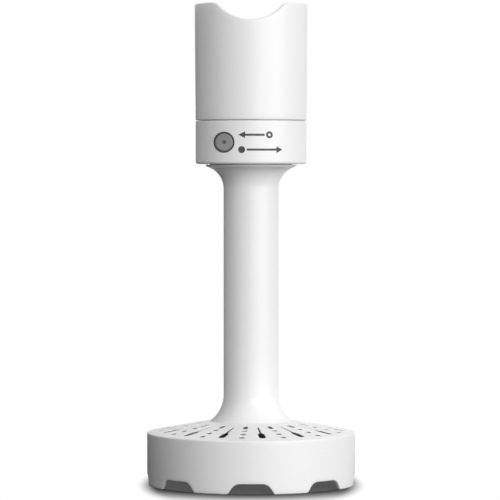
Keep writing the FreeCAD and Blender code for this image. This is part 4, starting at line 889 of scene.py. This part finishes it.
class Nodes:
    """The node tree of one material or of the world."""

    def __init__(self, owner):
        owner.use_nodes = True
        self.tree = owner.node_tree
        self.tree.nodes.clear()

    def add(self, kind, settings=None, inputs=None, output=0):
        """Add a node: its settings first, then the value or link of each socket, and give one output."""
        node = self.tree.nodes.new(kind)
        for name, value in (settings or {}).items():
            setattr(node, name, value)
        for name, value in (inputs or {}).items():
            if isinstance(value, Value):
                self.tree.links.new(value.socket, node.inputs[name])
            else:
                node.inputs[name].default_value = value
        return Value(self, node.outputs[output]) if node.outputs else None

    def place(self):
        """Object coordinates."""
        return self.add("ShaderNodeTexCoord", output="Object")

    def vector(self, operation, *terms, output=0):
        """Add one Vector Math node on these terms."""
        return self.add("ShaderNodeVectorMath", {"operation": operation}, dict(enumerate(terms)), output)

    def scaled(self, vector, *scale):
        """A vector times a scale for each axis."""
        return self.vector("MULTIPLY", vector, scale)

    def reach(self, vector):
        """Length of a vector."""
        return self.vector("LENGTH", vector, output="Value")

    def noise(self, vector, size, detail=2.0):
        """Noise whose grains are about one size across, in millimetres."""
        return self.add("ShaderNodeTexNoise", None,
                        {"Vector": vector, "Scale": 1 / (size * MM), "Detail": detail})

    def mixed(self, share, first, second):
        """Colour between two colours: sockets 6 and 7 of the node take colours, output 2 gives one."""
        return self.add("ShaderNodeMix", {"data_type": "RGBA"}, {0: share, 6: first, 7: second}, 2)

    def bumped(self, height, depth, edge=None):
        """Normal of a height in units of one depth, in millimetres, on sharp or on rounded edges."""
        inputs = {"Height": height, "Distance": depth * MM}
        if edge:
            inputs["Normal"] = self.add("ShaderNodeBevel", {"samples": BEVEL_SAMPLES}, {"Radius": edge * MM})
        return self.add("ShaderNodeBump", None, inputs)

    def matt(self, base):
        """Shader of a dull surface without a sheen."""
        return self.add("ShaderNodeBsdfPrincipled", None, {
            "Base Color": base, "Roughness": 1.0, "Specular IOR Level": 0.0})


def rgba(colour_value, shade=1.0):
    """A colour times a shade, with full alpha."""
    return tuple(channel * shade for channel in colour_value) + (1.0,)


def grey(level):
    """An even grey with full alpha."""
    return rgba((level,) * 3)


def finish_of(name, build, *details):
    """A material made by a function that gives its shader's inputs."""
    material = bpy.data.materials.new(name)
    nodes = Nodes(material)
    shader = nodes.add("ShaderNodeBsdfPrincipled", None, build(nodes, nodes.place(), *details))
    nodes.add("ShaderNodeOutputMaterial", None, {"Surface": shader})
    return material


def moulded_white(nodes, place, base):
    """Satin white plastic: a soft cloud in the colour, orange peel, a fine eroded grain and faint scuffs."""
    cloud = nodes.noise(place, 45.0)
    peel = nodes.noise(place, 1.6)
    grain = nodes.noise(place, 0.28)
    scuffs = nodes.noise(nodes.scaled(place, 1.0, 1.0, 0.06), 0.5, detail=4.0).ramp(0.66, 0.78)
    return {
        "Base Color": nodes.mixed(cloud, rgba(base, 0.965), rgba(base)),
        "Roughness": 0.32 + 0.06 * grain + 0.05 * cloud + 0.04 * scuffs,
        "Normal": nodes.bumped(peel + 0.35 * grain, depth=0.009),
        "IOR": 1.49,
    }


def disc_grey(nodes, place, base, centre, radius):
    """Grey inlay: painted shade darkens it over its edge groove and its dimple; a turned sheen and a fine
    speckle.
    """
    apart = nodes.vector("SUBTRACT", place, centre)
    reach = nodes.reach(nodes.scaled(apart, 1.0, 0.0, 1.0))
    edge = reach.ramp(radius * 0.76, radius * 0.93)
    dot = 1 - reach.ramp(radius * 0.10, radius * 0.26)
    speckle = nodes.noise(place, 0.5, detail=3.0)
    # Painted shade: the colour darkens towards the rim over the groove and round edge, and in the dimple in
    # the middle.
    hollow_shade = edge.larger(0.75 * dot) + 0.16 * speckle
    rings = (TURNED_LINES * reach).sine()
    return {
        "Base Color": nodes.mixed(hollow_shade, rgba(base, 0.75), rgba(base, 0.09)),
        "Roughness": 0.38 + 0.10 * speckle,
        "Normal": nodes.bumped(speckle + 0.3 * rings, depth=0.008),
    }


def printed_ink(nodes, place, base):
    """Pad-printed ink: dark, matt, a little uneven."""
    patch = nodes.noise(place, 1.1, detail=3.0)
    grain = nodes.noise(place, 0.2)
    return {
        "Base Color": nodes.mixed(patch, rgba(base, 0.75), rgba(base, 1.5)),
        "Roughness": 0.5 + 0.12 * grain,
        "Normal": nodes.bumped(grain, depth=0.004),
    }


def moulded_grey(nodes, place, base, roughness, edge):
    """Moulded plastic with flow marks in its colour, a fine grain, and eased edges."""
    flow = nodes.noise(nodes.scaled(place, 1.0, 1.0, 0.35), 9.0, detail=4.0)
    grain = nodes.noise(place, 0.35)
    worn = nodes.noise(place, 2.4, detail=5.0).ramp(0.58, 0.75)
    return {
        "Base Color": nodes.mixed(flow, rgba(base, 0.85), rgba(base, 1.12)),
        "Roughness": roughness + 0.10 * grain + 0.10 * worn,
        "Normal": nodes.bumped(grain + 0.6 * flow, depth=0.01, edge=edge),
    }


def glass_filled(nodes, place, base):
    """Black glass-filled plastic: short pale fibres that show at the surface, and a matt skin."""
    fibres = nodes.noise(nodes.scaled(place, 1.0, 0.16, 0.5), 0.4, detail=3.0).ramp(0.62, 0.72)
    patch = nodes.noise(place, 4.0, detail=3.0)
    return {
        "Base Color": nodes.mixed(0.55 * fibres, rgba(base, 0.9), rgba(base, 2.6)),
        "Roughness": 0.42 + 0.16 * patch - 0.10 * fibres,
        "Normal": nodes.bumped(fibres + patch, depth=0.01, edge=0.25),
    }


def ground_steel(nodes, place, base):
    """Ground steel: fine turning lines round the axis, patches of polish, and eased edges."""
    lines = nodes.noise(nodes.scaled(place, 0.02, 0.02, 1.0), 0.12, detail=3.0)
    patch = nodes.noise(place, 3.0, detail=3.0)
    return {
        "Base Color": nodes.mixed(patch, rgba(base, 0.88), rgba(base, 1.1)),
        "Metallic": 1.0,
        "Roughness": 0.20 + 0.14 * lines + 0.08 * patch,
        "Normal": nodes.bumped(lines, depth=0.006, edge=0.15),
    }


def sintered_bronze(nodes, place, base):
    """Sintered bronze: open dark pores between bright grains, with a film of oil."""
    grains = nodes.add("ShaderNodeTexVoronoi", {"feature": "DISTANCE_TO_EDGE"},
                       {"Vector": place, "Scale": 1 / (PORE_SIZE * MM)})
    pores = 1 - grains.ramp(0.02, 0.12)
    patch = nodes.noise(place, 2.5, detail=3.0)
    return {
        "Base Color": nodes.mixed(0.7 * pores + 0.2 * patch, rgba(base, 1.15), rgba(base, 0.3)),
        "Metallic": 1.0,
        "Roughness": 0.30 + 0.25 * pores + 0.08 * patch,
        "Normal": nodes.bumped(1 - pores, depth=0.012, edge=0.15),
    }


def seal_rubber(nodes, place, base):
    """Soft rubber: matt, dusty in patches, with a fine moulded grain."""
    dust = nodes.noise(place, 3.5, detail=5.0).ramp(0.45, 0.75)
    grain = nodes.noise(place, 0.3)
    return {
        "Base Color": nodes.mixed(0.35 * dust, rgba(base), rgba(base, 2.4)),
        "Roughness": 0.62 + 0.14 * grain + 0.10 * dust,
        "Normal": nodes.bumped(grain, depth=0.02, edge=0.2),
    }


# Slot of the record: name, recipe and, for the plain plastics, roughness and eased edge in millimetres.
RECIPES = {
    "white_plastic": ("white_satin", moulded_white),
    "cover_plastic": ("cover_grey", moulded_grey, 0.40, 0.3),
    "coupling_plastic": ("coupling_black", glass_filled),
    "gear_plastic": ("gear_natural", moulded_grey, 0.34, 0.1),
    "steel": ("steel_ground", ground_steel),
    "bronze": ("bronze_sintered", sintered_bronze),
    "seal_rubber": ("rubber_seal", seal_rubber),
    "paddle_plastic": ("paddle_grey", moulded_grey, 0.33, 0.4),
}


def look_along(item, direction):
    """Turn a lamp or the camera so that it looks along a direction."""
    item.rotation_euler = direction.to_track_quat("-Z", "Y").to_euler()


def softbox(name, power, azimuth, elevation, distance, width, height, aim):
    """Area lamp that stands round the object and looks at a point; azimuth nought is the front."""
    lamp = bpy.data.lights.new(name, "AREA")
    lamp.shape = "RECTANGLE"
    lamp.size = width
    lamp.size_y = height
    lamp.energy = power
    angle = FRONT + azimuth
    level = math.cos(elevation)
    direction = Vector((math.cos(angle) * level, math.sin(angle) * level, math.sin(elevation)))
    holder = linked(name, lamp)
    holder.location = aim + distance * direction
    look_along(holder, -direction)
    holder.visible_camera = False
    return holder


def seen_directly(nodes):
    """One where the camera or a clear material looks, and one where a reflection looks: nought elsewhere."""
    camera = nodes.add("ShaderNodeLightPath", output="Is Camera Ray")
    glossy, clear = [Value(nodes, camera.socket.node.outputs[name])
                     for name in ("Is Glossy Ray", "Is Transmission Ray")]
    return camera.larger(clear), glossy


def studio_camera(size, aim):
    """Camera ahead of the object, a little to the left, that looks at the aim's height."""
    camera = bpy.data.cameras.new("camera")
    camera.lens = size.lens
    camera.clip_end = 2 * size.floor_half
    holder = linked("camera", camera)
    aside = Vector((size.camera_aside, 0.0, 0.0))
    holder.location = Vector((0.0, -size.camera_distance, size.camera_height)) - aside
    look_along(holder, aim - aside - holder.location)
    bpy.context.scene.camera = holder


def studio_air(size):
    """World that is plain white where it is seen and grey where light is gathered."""
    world = bpy.data.worlds.new("studio")
    nodes = Nodes(world)
    fill = nodes.add("ShaderNodeBackground", None, {"Color": grey(size.fill_level)})
    white = nodes.add("ShaderNodeBackground", None, {"Color": grey(1.0)})
    seen, mirrored = seen_directly(nodes)
    both = nodes.add("ShaderNodeMixShader", None, {0: seen.larger(mirrored), 1: fill, 2: white})
    nodes.add("ShaderNodeOutputWorld", None, {"Surface": both})
    bpy.context.scene.world = world


def stage_sheet(name, corners, finish):
    """A flat sheet of four corners that belongs to the stage."""
    mesh = bpy.data.meshes.new(name)
    mesh.from_pydata(corners, [], [(0, 1, 2, 3)])
    mesh.materials.append(finish)
    sheet = linked(name, mesh)
    return sheet


def studio_floor(size):
    """Pale floor: plain white where it is seen clear of the object, dark grey matt round and under the foot
    as a painted shadow, on which the lamps' real shadow also falls.

    In reflections it is white round a dull patch at the left and back.
    """
    finish = bpy.data.materials.new("floor_paper")
    nodes = Nodes(finish)
    place = nodes.place()
    reach = nodes.reach(place)
    aside = nodes.reach(nodes.scaled(place, 1.0, size.painted_shadow_stretch, 1.0))
    patch = nodes.vector("DISTANCE", place, (-size.patch_aside, size.patch_behind, 0.0), output="Value")
    inside = node_radius("masher_foot") - size.painted_shadow_inset
    outside = reach.ramp(inside - size.painted_shadow_soft, inside)
    far = reach.ramp(inside, size.painted_shadow_end)
    clear = far + (1 - far) * aside.ramp(size.painted_shadow_side, size.painted_shadow_side_end)
    seen, mirrored = seen_directly(nodes)
    # Where this share is low the camera sees the dark matt floor: a painted shadow in an ellipse round the
    # foot and painted shade under it.
    plain_view = outside * clear + (1 - outside) * size.floor_lift
    share = seen * plain_view + mirrored * patch.ramp(size.patch_core, size.patch_end)
    grain = nodes.noise(place, 0.9)
    matt = nodes.matt(nodes.mixed(grain, grey(0.9 * size.painted_shadow_and_gathered_grey), grey(1.1 * size.painted_shadow_and_gathered_grey)))
    plain = nodes.add("ShaderNodeEmission", None, {"Color": grey(1.0)})
    surface = nodes.add("ShaderNodeMixShader", None, {0: share, 1: matt, 2: plain})
    nodes.add("ShaderNodeOutputMaterial", None, {"Surface": surface})
    half = size.floor_half
    stage_sheet("floor", [(-half, -half, 0), (half, -half, 0), (half, half, 0), (-half, half, 0)], finish)


def dark_cards(size):
    """Two cards of dark felt at the left, out of the camera's sight.

    The low one shades the left of the skirt. The tall one shows in reflections only, and darkens the edges
    at the left.
    """
    finish = bpy.data.materials.new("card_felt")
    nodes = Nodes(finish)
    pile = nodes.noise(nodes.place(), 1.2)
    dull = nodes.matt(nodes.mixed(pile, grey(0.8 * size.card_shade), grey(1.2 * size.card_shade)))
    nodes.add("ShaderNodeOutputMaterial", None, {"Surface": dull})
    left = -size.flag_aside
    for name, front, back, top, shades in (
            ("low_card", -size.flag_front, size.flag_back, size.flag_height, True),
            ("tall_card", -size.mirror_front, size.mirror_back, size.mirror_height, False)):
        corners = [(left, front, 0), (left, back, 0), (left, back, top), (left, front, top)]
        card = stage_sheet(name, corners, finish)
        card.visible_camera = False
        card.visible_diffuse = shades
        card.visible_shadow = shades


def white_piece(skin, name, body, node):
    """Make a piece of white plastic in place of one node."""
    skin.make(name, body, bpy.data.materials["white_satin"], "white_plastic", node)


class MASHER_OT_foot(bpy.types.Operator):
    """Build the perforated foot with its notched skirt"""

    bl_idname = "masher.foot"
    bl_label = "Build Foot"

    def execute(self, context):
        white_piece(foot_skin(context.scene.masher_foot), "foot_shell", "stem", "masher_foot")
        return {"FINISHED"}


class MASHER_OT_stem(bpy.types.Operator):
    """Build the flared stem"""

    bl_idname = "masher.stem"
    bl_label = "Build Stem"

    def execute(self, context):
        white_piece(stem_skin(context.scene.masher_stem), "stem_shell", "stem", "masher_stem")
        return {"FINISHED"}


class MASHER_OT_sleeve(bpy.types.Operator):
    """Build the sleeve with the scalloped rim"""

    bl_idname = "masher.sleeve"
    bl_label = "Build Sleeve"

    def execute(self, context):
        white_piece(sleeve_skin(context.scene.masher_sleeve), "sleeve_shell", "collar", "collar_sleeve")
        return {"FINISHED"}


class MASHER_OT_disc(bpy.types.Operator):
    """Build the inlaid disc of the band"""

    bl_idname = "masher.disc"
    bl_label = "Build Disc"

    def execute(self, context):
        low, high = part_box("badge_disc")
        base = context.scene.masher_colours.badge_grey
        finish = finish_of("disc_inlay", disc_grey, base, (low + high) / 2, (high.z - low.z) / 2)
        disc_skin(context.scene.masher_collar).make("band_disc", "collar", finish, "badge_grey", "badge_disc")
        return {"FINISHED"}


class MASHER_OT_marks(bpy.types.Operator):
    """Print the twist-lock marks on the band"""

    bl_idname = "masher.marks"
    bl_label = "Print Marks"

    def execute(self, context):
        finish = finish_of("mark_print", printed_ink, context.scene.masher_colours.mark_ink)
        marks_skin(context.scene.masher_collar).make("band_marks", "collar", finish, "badge_grey")
        return {"FINISHED"}


class MASHER_OT_finishes(bpy.types.Operator):
    """Make the finishes and give them to the pieces that keep their own shape"""

    bl_idname = "masher.finishes"
    bl_label = "Make Finishes"

    def execute(self, context):
        colours = context.scene.masher_colours
        finishes = {}
        for slot, (name, recipe, *details) in RECIPES.items():
            finishes[slot] = finish_of(name, recipe, getattr(colours, slot), *details)
        for row in frame["record"]["subparts"]:
            if row["material_slot"] in finishes:
                for holder in frame["nodes"][row["node"]].material_slots:
                    holder.material = finishes[row["material_slot"]]
        return {"FINISHED"}


class MASHER_OT_stage(bpy.types.Operator):
    """Set the camera, the soft lights, the floor and the dark cards"""

    bl_idname = "masher.stage"
    bl_label = "Set Stage"

    def execute(self, context):
        size = context.scene.masher_stage
        aim = Vector((0.0, 0.0, size.aim_height))
        studio_camera(size, aim)
        softbox("key_softbox", size.key_power, size.key_azimuth, size.key_elevation, size.key_distance,
                size.key_width, size.key_height, aim)
        back = softbox("back_softbox", size.back_power, math.pi, size.back_elevation, size.back_distance,
                       size.back_side, size.back_side, aim)
        back.visible_glossy = False
        studio_air(size)
        studio_floor(size)
        dark_cards(size)
        context.scene.view_settings.view_transform = "Standard"
        return {"FINISHED"}


class MASHER_PT_panel(bpy.types.Panel):
    """Buttons and sizes of the mashing attachment"""

    bl_label = "Mashing Attachment"
    bl_idname = "MASHER_PT_panel"
    bl_space_type = "VIEW_3D"
    bl_region_type = "UI"
    bl_category = "Masher"

    def draw(self, context):
        for operator in OPERATORS:
            self.layout.operator(operator.bl_idname)
        for name, group in GROUPS.items():
            box = self.layout.box()
            for key in group.__annotations__:
                box.prop(getattr(context.scene, name), key)


GROUPS = {
    "masher_foot": FootSizes,
    "masher_stem": StemSizes,
    "masher_sleeve": SleeveSizes,
    "masher_collar": CollarSizes,
    "masher_colours": FinishColours,
    "masher_stage": StageSizes,
}
OPERATORS = (
    MASHER_OT_finishes,
    MASHER_OT_foot,
    MASHER_OT_stem,
    MASHER_OT_sleeve,
    MASHER_OT_disc,
    MASHER_OT_marks,
    MASHER_OT_stage,
)


def register():
    """Register the classes and hang each group of settings on the scene."""
    for item in (*GROUPS.values(), *OPERATORS, MASHER_PT_panel):
        bpy.utils.register_class(item)
    for name, group in GROUPS.items():
        setattr(bpy.types.Scene, name, PointerProperty(type=group))


def unregister():
    """Take the settings and the classes away again."""
    for name in GROUPS:
        delattr(bpy.types.Scene, name)
    for item in (MASHER_PT_panel, *reversed(OPERATORS), *reversed(GROUPS.values())):
        bpy.utils.unregister_class(item)


def main():
    """Build everything in order."""
    register()
    bpy.ops.masher.finishes()
    bpy.ops.masher.foot()
    bpy.ops.masher.stem()
    bpy.ops.masher.sleeve()
    bpy.ops.masher.disc()
    bpy.ops.masher.marks()
    bpy.ops.masher.stage()


if __name__ == "__main__":
    main()
